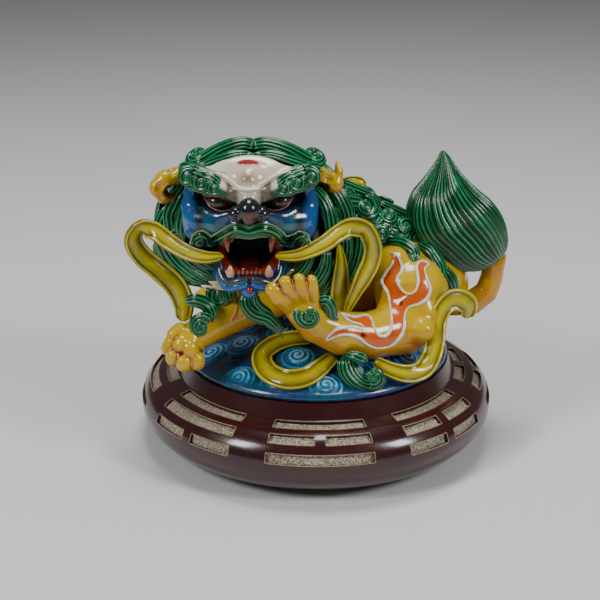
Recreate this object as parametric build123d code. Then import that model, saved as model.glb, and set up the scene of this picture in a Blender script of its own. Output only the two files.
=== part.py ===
from build123d import *
from math import cos, radians, sin
import os

# A reclining foo dog figure of painted cast resin that turns on a round trigram base.
#
# Millimetres. +Z is up and -Y is the front. The origin is the centre of the underside of the felt pad,
# and the Z axis is the axis that the figure turns about. Left and right are the viewer's.

# Base casting: a round bowl whose shoulder is one arc, with a raised seat in the middle.
BASE_RADIUS = 82.2          # equator of the bowl
EQUATOR_Z = 18.0
SHOULDER_ARC = 13.5         # radius of the rounded shoulder
SHOULDER_X = BASE_RADIUS - SHOULDER_ARC
CROWN_ANGLE = 83.0          # degrees above the equator where the arc runs into the inner slope
SEAT_FOOT = (64.5, 33.0)    # radius and height where the inner slope meets the seat wall
SEAT_TOP_RADIUS = 61.8
SEAT_Z = 39.6
FOOT_RADIUS = 58.0
WALL = 4.0
FELT = 0.8
PLATE = 2.4
PLATE_RADIUS = 55.0

# Trigram lines: eight trigrams, three lines each, the bottom line nearest the middle.
POCKET_DEPTH = 2.0
INLAY = 0.6
LINE_HALF_ANGLE = 16.5      # degrees, half of one line
BREAK_HALF_ANGLE = 1.75     # degrees, half of the gap in a broken line
OUTER_LINE = (9.5, 28.5)    # degrees along the shoulder arc
MIDDLE_LINE = (46.5, 66.5)
INNER_LINE = (65.3, 70.2)   # radii on the inner slope
# Anticlockwise from the front, seen from above; True is a whole line, the innermost line first.
TRIGRAMS = (
    (True, False, True),
    (True, False, False),
    (False, False, False),
    (False, False, True),
    (False, True, False),
    (False, True, True),
    (True, True, True),
    (True, True, False),
)

# Turntable between base and figure.
STUD_RADIUS = 3.0
RUNNING_GAP = 0.06
BUSHING_RADIUS = 5.0
FLANGE_RADIUS = 9.0
FLANGE = 1.2                # thickness of the bush's flange, under the deck
HEX = 5.6                   # centre to corner of the stud's head and the nut
STUD_HEAD = 4.0
NUT = 5.0
WASHER = 1.2
WASHER_RADIUS = 8.0
STUD_TAIL = 2.0             # thread that shows below the nut
THRUST_RING = (40.0, 50.0)  # inner and outer radius
THRUST_GROOVE = 1.1         # depth
GROOVE_GAP = 0.2
FIGURE_GAP = 0.5            # figure's underside above the seat
FIGURE_Z = SEAT_Z + FIGURE_GAP

# Cloud mound under the figure.
MOUND_RADIUS = 61.2
MOUND_RIM = 2.6
MOUND_TOP = 56.5
MOUND_PROFILE = ((57.0, 45.0), (49.0, 48.6), (38.0, 52.2), (22.0, 55.6))

RIBBON = 1.9                # thickness of the cast ribbon
PART_FOLDER = "parts"


# ---------------------------------------------------------------- helpers
def on_shoulder(angle, depth=0.0):
    """Radius and height on the shoulder arc, depth below its surface."""
    reach = SHOULDER_ARC - depth
    return SHOULDER_X + reach * cos(radians(angle)), EQUATOR_Z + reach * sin(radians(angle))


def turned(points, angle=360.0):
    """Straight-sided (radius, height) outline turned about Z."""
    outline = Polyline([(r, 0, z) for r, z in points], close=True)
    return revolve(make_face(outline), Axis.Z, revolution_arc=angle)


def ring_solid(inner, outer, low, high):
    """Flat ring about Z, or a disc where inner is 0."""
    return turned([(inner, low), (outer, low), (outer, high), (inner, high)])


def ellipsoid(centre, radii, turn=(0, 0, 0)):
    return Location(centre, turn) * scale(Sphere(1), by=radii)


def station_plane(path, i, across):
    """Plane square to the path at point i, with its local X as near to across as it can be."""
    along = (path[min(i + 1, len(path) - 1)] - path[max(i - 1, 0)]).normalized()
    side = across - along * across.dot(along)
    return Plane(origin=path[i], x_dir=side.normalized(), z_dir=along)


def limb(stations, across=(0, 1, 0), flatten=1.0):
    """Smooth round limb through (x, y, z, radius) stations; flatten squeezes it square to across."""
    path = [Vector(*s[:3]) for s in stations]
    rounds = []
    for i, s in enumerate(stations):
        rounds.append(station_plane(path, i, Vector(*across)) * Ellipse(s[3], s[3] * flatten))
    return loft(rounds)


def strip(stations, thickness=RIBBON):
    """Flat strip through (centre, width, across) stations."""
    path = [Vector(*centre) for centre, _, _ in stations]
    cuts = []
    for i, (_, width, across) in enumerate(stations):
        cuts.append(station_plane(path, i, Vector(*across)) * Rectangle(width, thickness))
    return loft(cuts)


def curl(centre, radius, facing, thickness=3.0):
    """Flat snail curl of hair, a short drum that faces the given way."""
    face = Plane(origin=centre, z_dir=facing) * Circle(radius)
    return extrude(face, thickness / 2, both=True)


# ---------------------------------------------------------------- base
def base_outer():
    """Solid of the base's outside."""
    foot = (FOOT_RADIUS, 0, FELT)
    equator = (BASE_RADIUS, 0, EQUATOR_Z)
    crown_r, crown_z = on_shoulder(CROWN_ANGLE)
    crown = (crown_r, 0, crown_z)
    half_r, half_z = on_shoulder(CROWN_ANGLE / 2)
    bowl = EllipticalCenterArc(
        (FOOT_RADIUS, EQUATOR_Z), BASE_RADIUS - FOOT_RADIUS, EQUATOR_Z - FELT, 270, arc_size=90
    )
    outline = [
        Line((0, 0, FELT), foot),
        Plane.XZ * bowl,
        ThreePointArc(equator, (half_r, 0, half_z), crown),
        Polyline(crown, (SEAT_FOOT[0], 0, SEAT_FOOT[1]), (SEAT_TOP_RADIUS, 0, SEAT_Z), (0, 0, SEAT_Z)),
        Line((0, 0, SEAT_Z), (0, 0, FELT)),
    ]
    return revolve(make_face(outline), Axis.Z)


def base_hollow():
    """Solid of the room inside the base, under the seat, with the plate's rebate."""
    rebate_top = FELT + PLATE
    room = turned(
        [
            (0, rebate_top),
            (PLATE_RADIUS - 2.5, rebate_top),
            (70.5, 9.6),
            (77.0, 16.5),
            (77.0, 21.5),
            (72.6, 26.2),
            (60.5, 28.6),
            (SEAT_TOP_RADIUS - WALL, SEAT_Z - WALL),
            (0, SEAT_Z - WALL),
        ]
    )
    return room + ring_solid(0, PLATE_RADIUS, FELT, rebate_top)


def line_outline(ring, above, below):
    """Four-cornered (radius, height) outline of a trigram line, from above the surface to below it."""
    if ring == 0:
        rise = (SEAT_FOOT[1] - on_shoulder(CROWN_ANGLE)[1]) / (on_shoulder(CROWN_ANGLE)[0] - SEAT_FOOT[0])
        low, high = INNER_LINE
        surface = [(r, SEAT_FOOT[1] - (r - SEAT_FOOT[0]) * rise) for r in (low, high)]
        return [(r, z + above) for r, z in surface] + [(r, z - below) for r, z in reversed(surface)]
    start, end = MIDDLE_LINE if ring == 1 else OUTER_LINE
    return [
        on_shoulder(start, -above),
        on_shoulder(end, -above),
        on_shoulder(end, below),
        on_shoulder(start, below),
    ]


def line_solids(ring, above, below, margin=0.0):
    """Every whole or broken line of one ring, margin degrees in from its ends."""
    solids = []
    for place, trigram in enumerate(TRIGRAMS):
        middle = place * 45.0 - 90.0
        if trigram[ring]:
            spans = [(-LINE_HALF_ANGLE, LINE_HALF_ANGLE)]
        else:
            spans = [(-LINE_HALF_ANGLE, -BREAK_HALF_ANGLE), (BREAK_HALF_ANGLE, LINE_HALF_ANGLE)]
        for start, end in spans:
            wedge = turned(line_outline(ring, above, below), end - start - 2 * margin)
            solids.append(Location((0, 0, 0), (0, 0, middle + start + margin)) * wedge)
    return solids


def base_shell():
    shell = base_outer() - base_hollow()
    for ring in range(3):
        for pocket in line_solids(ring, 1.5, POCKET_DEPTH):
            shell -= pocket
    shell -= Location((0, 0, SEAT_Z)) * Cylinder(BUSHING_RADIUS, 3 * WALL)
    inner, outer = THRUST_RING
    groove = ring_solid(inner - GROOVE_GAP, outer + GROOVE_GAP, SEAT_Z - THRUST_GROOVE, SEAT_Z + 1)
    return shell - groove


def inlays(ring):
    """Speckled gold fill on the pocket floors of one ring."""
    return Compound(children=line_solids(ring, INLAY - POCKET_DEPTH, POCKET_DEPTH, 0.08))


def bushing():
    """Flanged bush: a sleeve in the deck's hole and a flange under the deck."""
    deck_low = SEAT_Z - WALL
    bore = STUD_RADIUS + RUNNING_GAP
    flange = ring_solid(bore, FLANGE_RADIUS, deck_low - FLANGE, deck_low)
    return flange + ring_solid(bore, BUSHING_RADIUS, deck_low, SEAT_Z - 0.2)


# ---------------------------------------------------------------- turntable parts that turn with the figure
STUD_HEAD_Z = FIGURE_Z + 3.0
WASHER_TOP = SEAT_Z - WALL - FLANGE - 0.1
NUT_TOP = WASHER_TOP - WASHER


def pivot_stud():
    shank = ring_solid(0, STUD_RADIUS, NUT_TOP - NUT - STUD_TAIL, STUD_HEAD_Z)
    head = Location((0, 0, STUD_HEAD_Z)) * extrude(RegularPolygon(HEX, 6), STUD_HEAD)
    return shank + head


def pivot_nut():
    seat = Location((0, 0, NUT_TOP - NUT))
    blank = seat * extrude(RegularPolygon(HEX, 6), NUT)
    return blank - seat * Cylinder(STUD_RADIUS + 0.02, 4 * NUT)


def pivot_washer():
    return ring_solid(STUD_RADIUS + 0.2, WASHER_RADIUS, NUT_TOP, WASHER_TOP)


# ---------------------------------------------------------------- figure
def cloud_mound():
    """Domed disc with a flat underside and a pocket for the stud's head."""
    rim_z = FIGURE_Z + MOUND_RIM
    dome = Spline(
        [(MOUND_RADIUS, 0, rim_z)] + [(r, 0, z) for r, z in MOUND_PROFILE] + [(0, 0, MOUND_TOP)],
        tangents=[(-0.6, 0, 0.8), (-1, 0, 0)],
    )
    outline = [
        Line((0, 0, MOUND_TOP), (0, 0, FIGURE_Z)),
        Polyline((0, 0, FIGURE_Z), (MOUND_RADIUS, 0, FIGURE_Z), (MOUND_RADIUS, 0, rim_z)),
        dome,
    ]
    return revolve(make_face(outline), Axis.Z) - pivot_stud()


def torso():
    return limb(
        [
            (66, 6, 70, 13),
            (58, 6, 74, 19),
            (40, 7, 76, 22),
            (18, 7, 76, 21),
            (-4, 4, 77, 21),
            (-22, -6, 77, 18),
            (-30, -14, 76, 13),
        ]
    )


def front_leg():
    return limb([(-24, -16, 73, 14), (-36, -26, 69, 12.5), (-47, -35, 64, 10.5), (-55, -41, 59, 9)])


def paw(heel, toes, toe_radius, turn=(0, 0, 0)):
    """Rounded foot with knuckles; turn sets each knuckle's poles away from its neighbours."""
    foot = ellipsoid(*heel)
    for toe in toes:
        foot += Location(toe, turn) * Sphere(toe_radius)
    return foot


def front_paw():
    toes = [(-66, -44, 57), (-64.5, -48, 52.5), (-59.5, -50.5, 50.5), (-53.5, -50, 51.5), (-56, -47, 58)]
    return paw(((-58.5, -43, 56.5), (9.5, 8.5, 9)), toes, 4.6)


def far_front_leg():
    return limb([(-30, 12, 72, 13), (-38, 24, 66, 11), (-44, 34, 58, 9.5), (-46, 39, 54, 8)])


def far_front_paw():
    toes = [(-55, 42, 50.5), (-52, 46.5, 49.5), (-46.5, 48, 49), (-41.5, 45.5, 49.5)]
    return paw(((-47, 40, 52), (9, 8.5, 6)), toes, 4.2)


def haunch():
    return ellipsoid((41, -17, 75), (20.5, 15, 26), (0, 12, 0))


def hind_leg():
    return limb(
        [
            (38, -30, 58, 9),
            (26, -37, 59, 11),
            (13, -42, 62.5, 10.5),
            (1, -46, 69, 9),
            (-6, -48, 76, 8),
        ]
    )


def hind_paw():
    toes = [(-19.5, -50, 86), (-12.5, -52, 91.5), (-5.5, -52, 92.5), (0.5, -50, 91)]
    return paw(((-9.5, -49.5, 82.5), (9, 6, 8.5), (0, -20, 0)), toes, 4.3, (0, 90, 0))


def far_haunch():
    return ellipsoid((40, 29, 72), (21, 14, 22), (0, 12, 0))


def far_hind_leg():
    return limb([(40, 38, 58, 10), (26, 43, 56, 9.5), (14, 44.5, 54.5, 8)])


def far_hind_paw():
    toes = [(1.5, 40.5, 53.4), (-0.4, 45.2, 53), (1.8, 49.8, 52.8)]
    return paw(((7.5, 45, 54), (9, 7, 6.5)), toes, 4.1, (90, 0, 0))


MOUTH = ((-29.3, -38, 101), (11, 19, 8.5))


def skull():
    return ellipsoid((-28, -12, 113), (29, 27, 28)) - ellipsoid(*MOUTH)


def lower_jaw():
    chin = ellipsoid((-31, -33, 91.5), (13.5, 13, 9))
    return chin - ellipsoid(*MOUTH)


def mouth_lining():
    """Thin cup behind the open mouth."""
    (x, y, z), (a, b, c) = MOUTH
    wall = 1.35
    cup = ellipsoid((x, y, z), (a - 0.05, b - 0.05, c - 0.05))
    cup -= ellipsoid((x, y - 3, z), (a - wall, b - wall, c - wall))
    return cup - Location((x, y - b / 2 - 1, z)) * Box(3 * a, b + 2, 3 * c)


def tongue():
    return ellipsoid((-29.3, -31, 95.2), (6, 10, 1.8))


def upper_lip():
    return limb(
        [
            (-54, -26, 104, 2.2),
            (-46, -36, 104, 3.2),
            (-38.5, -42, 109, 3.8),
            (-30, -45, 111.5, 4.2),
            (-21.5, -42, 109, 3.8),
            (-13, -35, 104.5, 3.2),
            (-5, -25, 104.5, 2.2),
        ],
        across=(0, 0, 1),
    )


def fang(root, tip, radius):
    """Tapered tooth from its root to a rounded tip."""
    middle = [(a + b) / 2 for a, b in zip(root, tip)]
    return limb([(*root, radius), (*middle, radius * 0.75), (*tip, radius * 0.25)])


def upper_fangs():
    return Compound(
        children=[
            fang((-37.5, -44.5, 106.5), (-37, -45, 99.5), 2.2),
            fang((-21.5, -44, 106.5), (-22, -44.5, 99.5), 2.2),
        ]
    )


def lower_teeth():
    """Two fangs with a row of small flat teeth between them."""
    teeth = [
        fang((-37.8, -42.5, 92), (-37.5, -43.5, 98.5), 2.3),
        fang((-22, -42.5, 92), (-22.5, -43.5, 98.5), 2.3),
    ]
    pitch = 1.9
    for i in range(5):
        teeth.append(Location((-33.9 + pitch * i, -44.6, 94.6)) * Box(1.5, 1.4, 2.6))
    return Compound(children=teeth)


def nose():
    return ellipsoid((-29.7, -46, 120), (8.8, 6.2, 6.8))


def eyeballs():
    return Compound(
        children=[
            Location((-42.2, -35.2, 121.3)) * Sphere(4.6),
            Location((-16.8, -34.6, 121.2)) * Sphere(4.6),
        ]
    )


def forehead():
    return ellipsoid((-30, -28, 132.5), (21, 13.5, 8))


def brow_left():
    return limb(
        [
            (-58, -25, 131.5, 4.5),
            (-52, -31, 129.5, 5.6),
            (-45, -36.5, 128, 5.4),
            (-38, -40, 126, 3.8),
        ]
    )


def brow_right():
    return limb(
        [
            (-22, -40, 126.5, 3.8),
            (-15, -36, 128.5, 5.4),
            (-8, -30.5, 130, 5.6),
            (-3, -24.5, 132, 4.5),
        ]
    )


def crown_left():
    return ellipsoid((-42, -10, 131), (16, 20, 10.5))


def crown_right():
    return ellipsoid((-14.5, -9, 130.5), (17, 20, 10))


def ear_left():
    return ellipsoid((-66.5, -19, 126.5), (7.5, 4.5, 6), (0, 15, 0))


def ear_right():
    return ellipsoid((4.5, -14, 127.5), (7, 4.5, 6), (0, 15, 0))


def mane_left():
    return ellipsoid((-52, -8, 105), (16, 19, 26))


def mane_right():
    return ellipsoid((-2, -6, 101), (13, 19, 28))


def mane_collar():
    return ellipsoid((-26, 17, 103), (30, 20, 31))


def mane_back():
    return limb([(4, 8, 101, 19), (18, 9, 97, 16), (32, 9, 93, 12), (46, 9, 90, 8)])


def rump_locks():
    return Compound(
        children=[
            limb([(31, -8, 100, 2.5), (38, -13, 99, 3.2), (41, -18, 94, 1.8)]),
            limb([(46, -6, 99, 2.5), (55, -10, 94, 3.6), (57, -15, 85, 3.2), (54, -19, 79, 1.2)]),
            limb([(63, 2, 88, 2.5), (66, -4, 82, 3.4), (66, -8, 74, 2.8), (64, -9, 68, 1.2)]),
        ]
    )


def beard_curls():
    return Compound(
        children=[
            curl((-43.5, -37.5, 82), 5.4, (-0.2, -1, 0), 4.5),
            curl((-56, -27, 80), 5.0, (-0.3, -1, 0), 4.5),
        ]
    )


def goatee():
    return limb(
        [
            (-31, -46, 84.5, 2.4),
            (-29, -47.5, 77, 3.0),
            (-24, -49.5, 70.5, 3.0),
            (-14, -54, 66.5, 1.8),
        ]
    )


def chin_pearl():
    return Location((-29.6, -47.2, 87.4)) * Sphere(2.0)


def ribbon_left_run():
    return strip(
        [
            ((-39.5, -42.5, 101.5), 4.5, (0, -0.3, 1)),
            ((-48, -42, 100), 6.5, (0, -0.3, 1)),
            ((-57, -38, 101), 7.5, (0, -0.4, 1)),
            ((-66, -33, 105.5), 8.5, (0.2, -0.6, 1)),
            ((-74, -29, 109.0), 9.5, (0.4, -1, 0.8)),
        ]
    )


def ribbon_left_fall():
    return strip(
        [
            ((-77.3, -27.6, 109.3), 9.5, (0.3, -1, 0.6)),
            ((-82.5, -26, 106), 9.5, (0.2, -1, 0.2)),
            ((-84, -25, 99), 9.0, (0.2, -1, 0)),
            ((-79, -24, 90), 9.0, (0.6, -1, 0.2)),
            ((-70, -24, 81), 9.0, (0.8, -0.6, 0.5)),
            ((-62.5, -26, 72), 9.0, (1, -0.5, 0.4)),
            ((-59, -30, 66), 8.0, (1, -0.5, 0.2)),
        ]
    )


def ribbon_right_run():
    return strip(
        [
            ((-19.5, -42.5, 101.5), 4.5, (0, -0.3, 1)),
            ((-9, -41, 102.5), 7.0, (0, -0.3, 1)),
            ((1, -36, 106), 8.0, (-0.2, -0.5, 1)),
            ((11, -32, 110), 9.5, (-0.2, -1, 0.8)),
            ((19.5, -29, 110.5), 10.5, (0, -1, 0.4)),
        ]
    )


def ribbon_right_fall():
    return strip(
        [
            ((22.5, -28.3, 109.3), 10.5, (0, -1, 0.2)),
            ((27, -28, 103.5), 10.5, (0, -1, 0.1)),
            ((27, -29, 95), 10.0, (0.5, -1, 0)),
            ((23.5, -30, 85), 10.0, (1, -1, 0.3)),
            ((17, -32, 74.5), 9.0, (1, -0.6, 0.4)),
        ]
    )


def ribbon_front_loop():
    """Loop of ribbon that lies on the mound in front of the hind leg."""
    return strip(
        [
            ((6, -40, 52.3), 6.5, (0, 1, 0.4)),
            ((-6, -40.5, 52.6), 7.5, (0, 1, 0.4)),
            ((-17, -42.5, 52.4), 8.5, (0.4, 1, 0.3)),
            ((-23, -48, 50.8), 9.0, (1, 0.2, 0.1)),
            ((-19.5, -54, 48.8), 9.0, (0.8, -0.8, -0.4)),
            ((-10, -56.5, 47.6), 8.5, (0.1, -1, -0.5)),
            ((0, -53, 48.9), 7.5, (-0.3, -1, -0.5)),
            ((8, -48.5, 50.4), 6.5, (-0.4, -1, -0.5)),
        ]
    )


def ribbon_hip_scroll():
    """Ribbon from under the hind leg, along the mound's rim and up beside the hip."""
    return strip(
        [
            ((26, -49.5, 49.4), 7.0, (-0.2, 1, 0.4)),
            ((37, -46.5, 49.2), 8.0, (-0.4, 1, 0.4)),
            ((47, -41.0, 49.4), 8.5, (-0.9, 0.7, 0.4)),
            ((54.5, -34, 53), 9.0, (-1, 0.4, 0.2)),
            ((57.5, -28.5, 60), 9.0, (-1, 0.4, 0)),
            ((61, -24.5, 67.5), 8.5, (-0.8, 0.9, 0.6)),
            ((67, -20.5, 72), 9.0, (0, 1, 0.5)),
            ((74, -17.5, 70), 9.5, (0.3, 1, 0.2)),
            ((76, -16.5, 64.5), 8.5, (0.2, 1, 0)),
        ]
    )


def ribbon_back_end():
    """Short end of ribbon that stands up behind the mane."""
    return strip(
        [
            ((9, 14, 115), 5.0, (0, 1, 0)),
            ((15, 14, 118), 6.0, (0, 1, 0)),
            ((20.5, 14, 117), 4.0, (0, 1, 0)),
        ]
    )


def leg_curls():
    """A snail curl and a loose lock at the front leg's elbow, and the same at the hind leg's ankle."""
    return Compound(
        children=[
            curl((-50.5, -48.5, 69), 6.0, (-0.3, -1, 0.2), 4.0),
            limb([(-43, -42, 77, 2.2), (-49, -45.5, 78.5, 3.0), (-55, -45, 78, 1.8)]),
            curl((-4.2, -56.6, 75.4), 5.4, (0.1, -1, 0.1), 4.0),
            limb([(3, -51, 83.5, 2.4), (7, -52.5, 77.5, 2.8), (12.5, -53, 72.5, 1.5)]),
        ]
    )


def hock_tuft():
    return limb(
        [
            (16, -53, 54, 5.0),
            (16.5, -55.5, 49.8, 6.0),
            (22.5, -57, 46.8, 5.2),
            (28.5, -56, 50.5, 4.2),
        ]
    )


def flame_marks():
    """Raised flame marks, one down the haunch and one along the shin."""
    down_haunch = strip(
        [
            ((26, -30, 94), 4, (1, -0.2, 0)),
            ((25.5, -34.5, 87), 5.5, (1, -0.2, 0)),
            ((31, -36, 78), 6.5, (1, 0, 0)),
            ((34, -38, 68), 6, (1, 0, 0)),
            ((31, -43.5, 60), 6, (1, 0, 0.6)),
        ],
        thickness=1.2,
    )
    along_shin = strip(
        [
            ((24.5, -49.5, 59.5), 6, (0, -0.4, 1)),
            ((17, -52.5, 63), 5.5, (0, -0.3, 1)),
            ((9, -54.5, 66.5), 5, (0, -0.3, 1)),
            ((2.5, -56, 63.5), 2, (0, -0.3, 1)),
        ],
        thickness=1.2,
    )
    return Compound(children=[down_haunch, along_shin])


def tail_stalk():
    return limb(
        [
            (64, 2, 60, 6),
            (72, 3, 61, 6.2),
            (80, 4, 66.5, 6.2),
            (83.5, 4, 75, 5.6),
            (80.5, 4, 82, 4.6),
        ]
    )


def tail_plume():
    """Onion-shaped tuft, widest below its middle, that leans forward to its tip."""
    stations = (
        (71.5, 76.5, 7),
        (69, 80, 15),
        (66, 87, 21),
        (64, 96, 22.8),
        (62, 105, 19.0),
        (59, 115, 11),
        (57, 124, 5.5),
        (56, 131.5, 1.6),
    )
    lean = (-0.22, 0.05, 1)
    rounds = []
    for x, z, radius in stations:
        y = 5 + (z - 76) * lean[1]
        rounds.append(Plane(origin=(x, y, z), z_dir=lean) * Ellipse(radius, radius * 0.86))
    return loft(rounds)


# The order matters: each piece is cut to seat against the pieces before it.
FIGURE = (
    cloud_mound, torso, haunch, far_haunch, skull, lower_jaw, front_leg, far_front_leg,
    hind_leg, far_hind_leg, front_paw, far_front_paw, hind_paw, far_hind_paw, mouth_lining,
    tongue, upper_fangs, lower_teeth, upper_lip, nose, eyeballs, forehead, brow_left,
    brow_right, crown_left, crown_right, mane_left, mane_right, mane_collar, mane_back,
    ear_left, ear_right, tail_stalk, tail_plume, rump_locks, chin_pearl, goatee, beard_curls,
    ribbon_left_run, ribbon_left_fall, ribbon_right_run, ribbon_right_fall, ribbon_front_loop,
    ribbon_hip_scroll, ribbon_back_end, leg_curls, hock_tuft, flame_marks,
)


def boxes_meet(a, b, gap=0.01):
    """True if the two shapes' bounding boxes overlap."""
    one, two = a.bounding_box(), b.bounding_box()
    lows = zip((one.min.X, one.min.Y, one.min.Z), (two.max.X, two.max.Y, two.max.Z))
    highs = zip((two.min.X, two.min.Y, two.min.Z), (one.max.X, one.max.Y, one.max.Z))
    return all(low < high - gap for low, high in lows) and all(low < high - gap for low, high in highs)


def seated(shape, placed, crumb=0.02):
    """The shape's solids less every shape placed before it. Crumbs, by share of volume, are dropped."""
    kept = []
    for solid in shape.solids():
        pieces = [solid]
        for other in placed:
            if boxes_meet(solid, other):
                pieces = [part for piece in pieces for part in (piece - other).solids()]
        kept += [piece for piece in pieces if piece.volume > crumb * solid.volume]
    return kept


def main():
    os.makedirs(PART_FOLDER, exist_ok=True)
    base = {
        "base_shell": base_shell(),
        "base_plate": ring_solid(0, PLATE_RADIUS - 0.1, FELT, FELT + PLATE),
        "felt_pad": ring_solid(0, FOOT_RADIUS - 0.5, 0, FELT),
        "inner_line_inlays": inlays(0),
        "middle_line_inlays": inlays(1),
        "outer_line_inlays": inlays(2),
        "deck_bushing": bushing(),
        "thrust_ring": ring_solid(*THRUST_RING, SEAT_Z - THRUST_GROOVE, FIGURE_Z - 0.1),
    }
    for name, shape in base.items():
        export_step(shape, f"{PART_FOLDER}/{name}.step")
    placed = [pivot_stud(), pivot_nut(), pivot_washer()]
    for name, shape in zip(("pivot_stud", "pivot_nut", "pivot_washer"), placed):
        export_step(shape, f"{PART_FOLDER}/{name}.step")
    for make in FIGURE:
        whole = make()
        solids = seated(whole, placed)
        placed += whole.solids()
        piece = solids[0] if len(solids) == 1 else Compound(children=solids)
        export_step(piece, f"{PART_FOLDER}/{make.__name__}.step")
        print(make.__name__, len(solids), round(sum(s.volume for s in solids)), flush=True)


main()
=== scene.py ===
"""Painted detail for the foo dog statue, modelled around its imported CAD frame."""

import bpy
import numpy as np
from mathutils import Matrix, Vector


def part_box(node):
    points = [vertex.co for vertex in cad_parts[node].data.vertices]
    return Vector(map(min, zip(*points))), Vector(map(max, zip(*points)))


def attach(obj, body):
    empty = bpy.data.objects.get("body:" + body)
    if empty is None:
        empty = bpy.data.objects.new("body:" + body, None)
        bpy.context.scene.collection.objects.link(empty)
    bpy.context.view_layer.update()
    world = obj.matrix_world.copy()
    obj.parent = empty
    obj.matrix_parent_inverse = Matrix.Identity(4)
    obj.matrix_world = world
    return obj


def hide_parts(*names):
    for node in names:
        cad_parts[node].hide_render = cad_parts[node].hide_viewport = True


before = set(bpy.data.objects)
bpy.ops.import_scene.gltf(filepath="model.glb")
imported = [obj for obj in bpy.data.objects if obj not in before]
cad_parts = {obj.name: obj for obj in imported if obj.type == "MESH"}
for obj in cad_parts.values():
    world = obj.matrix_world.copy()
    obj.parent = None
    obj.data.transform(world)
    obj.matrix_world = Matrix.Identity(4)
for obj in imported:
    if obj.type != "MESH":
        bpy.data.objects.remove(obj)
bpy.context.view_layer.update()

MM = 0.001


# ---------------------------------------------------------------- places taken from the frame, in millimetres
def cad(node):
    """Lowest and highest corner of a CAD node."""
    low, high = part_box(node)
    return np.array(low) / MM, np.array(high) / MM


SKULL_LOW, SKULL_HIGH = cad("skull")
HEAD = np.append((SKULL_LOW[:2] + SKULL_HIGH[:2]) / 2, SKULL_HIGH[2] - 28)  # middle of the head
MOUND_LOW, MOUND_HIGH = cad("cloud_mound")
MOUND_RADIUS = MOUND_HIGH[0]


# ---------------------------------------------------------------- curves
SPAN_STEPS = 24  # steps of a smooth curve between two of its points


def normalised(v):
    return v / np.maximum(np.linalg.norm(v, axis=-1, keepdims=True), 1e-9)


def smooth_path(points, count):
    """Smooth curve through the points, as count evenly spaced positions; extra columns follow along."""
    p = np.array(points, float)
    if len(p) == 2:
        return p[0] + (p[1] - p[0]) * np.linspace(0, 1, count)[:, None]
    p = np.vstack([2 * p[0] - p[1], p, 2 * p[-1] - p[-2]])
    curve = []
    for a, b, c, d in zip(p, p[1:], p[2:], p[3:]):
        t = np.linspace(0, 1, SPAN_STEPS, endpoint=False)[:, None]
        square, cube = 2 * a - 5 * b + 4 * c - d, 3 * b - a - 3 * c + d
        curve.append(0.5 * (2 * b + (c - a) * t + square * t**2 + cube * t**3))
    curve = np.vstack(curve + [p[-2][None]])
    run = np.concatenate([[0], np.cumsum(np.linalg.norm(np.diff(curve[:, :3], axis=0), axis=1))])
    return np.stack([np.interp(np.linspace(0, run[-1], count), run, column) for column in curve.T], 1)


def axes_along(path, out):
    """Tangent, side and up at each point of the path, with up as near to out as it can be."""
    tangent = normalised(np.gradient(path, axis=0))
    out = np.broadcast_to(np.array(out, float), path.shape)
    up = normalised(out - tangent * (out * tangent).sum(1, keepdims=True))
    return tangent, np.cross(tangent, up), up


# ---------------------------------------------------------------- meshes
class Heap:
    """Surfaces gathered until they become one piece. Each vertex has a tone, which the materials turn into
    painted shade and highlight, and a paint colour.
    """

    def __init__(self, *surface):
        self.verts, self.faces, self.tones, self.paints = [], [], [], []
        self.count = 0
        if surface:
            self.add(*surface)

    def add(self, verts, faces, tone=0.5, paint=(1, 1, 1)):
        n = len(verts)
        self.verts.append(verts)
        self.faces += [np.asarray(f, int) + self.count for f in faces if len(f)]
        self.tones.append(np.broadcast_to(np.asarray(tone, float), (n,)))
        self.paints.append(np.broadcast_to(np.asarray(paint, float), (n, 3)))
        self.count += n

    def piece(self, name, material, slot, *nodes, body="figure"):
        """One Blender object from all that was added; it stands for the CAD nodes."""
        mesh = bpy.data.meshes.new(name)
        verts = np.vstack(self.verts) * MM
        corners = np.concatenate([f.ravel() for f in self.faces])
        sizes = np.concatenate([np.full(len(f), f.shape[1]) for f in self.faces])
        mesh.vertices.add(len(verts))
        mesh.vertices.foreach_set("co", verts.astype(np.float32).ravel())
        mesh.loops.add(len(corners))
        mesh.loops.foreach_set("vertex_index", corners.astype(np.int32))
        mesh.polygons.add(len(sizes))
        mesh.polygons.foreach_set("loop_start", (np.cumsum(sizes) - sizes).astype(np.int32))
        mesh.update(calc_edges=True)
        mesh.polygons.foreach_set("use_smooth", np.ones(len(sizes), bool))
        tone = mesh.attributes.new("tone", "FLOAT", "POINT")
        tone.data.foreach_set("value", np.concatenate(self.tones).astype(np.float32))
        paint = mesh.attributes.new("paint", "FLOAT_COLOR", "POINT")
        rgba = np.hstack([np.vstack(self.paints), np.ones((len(verts), 1))])
        paint.data.foreach_set("color", rgba.astype(np.float32).ravel())
        mesh.materials.append(material)
        piece = bpy.data.objects.new(name, mesh)
        bpy.context.scene.collection.objects.link(piece)
        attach(piece, body)
        if nodes:
            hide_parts(*nodes)
        return piece


def grid_faces(rows, columns):
    """Quads of a grid of points stored row by row, its last column joined to the first."""
    r = np.arange(rows - 1)[:, None] * columns
    c = np.arange(columns)[None]
    d = (c + 1) % columns
    return np.stack([r + c, r + d, r + columns + d, r + columns + c], -1).reshape(-1, 4)


def end_caps(rows, columns):
    """Fans that close a grid's first and last rows on the two points that follow it."""
    loop = np.arange(columns)
    after, last = (loop + 1) % columns, (rows - 1) * columns
    return [np.stack([after, loop, np.full(columns, rows * columns)], 1),
            np.stack([last + loop, last + after, np.full(columns, rows * columns + 1)], 1)]


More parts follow.
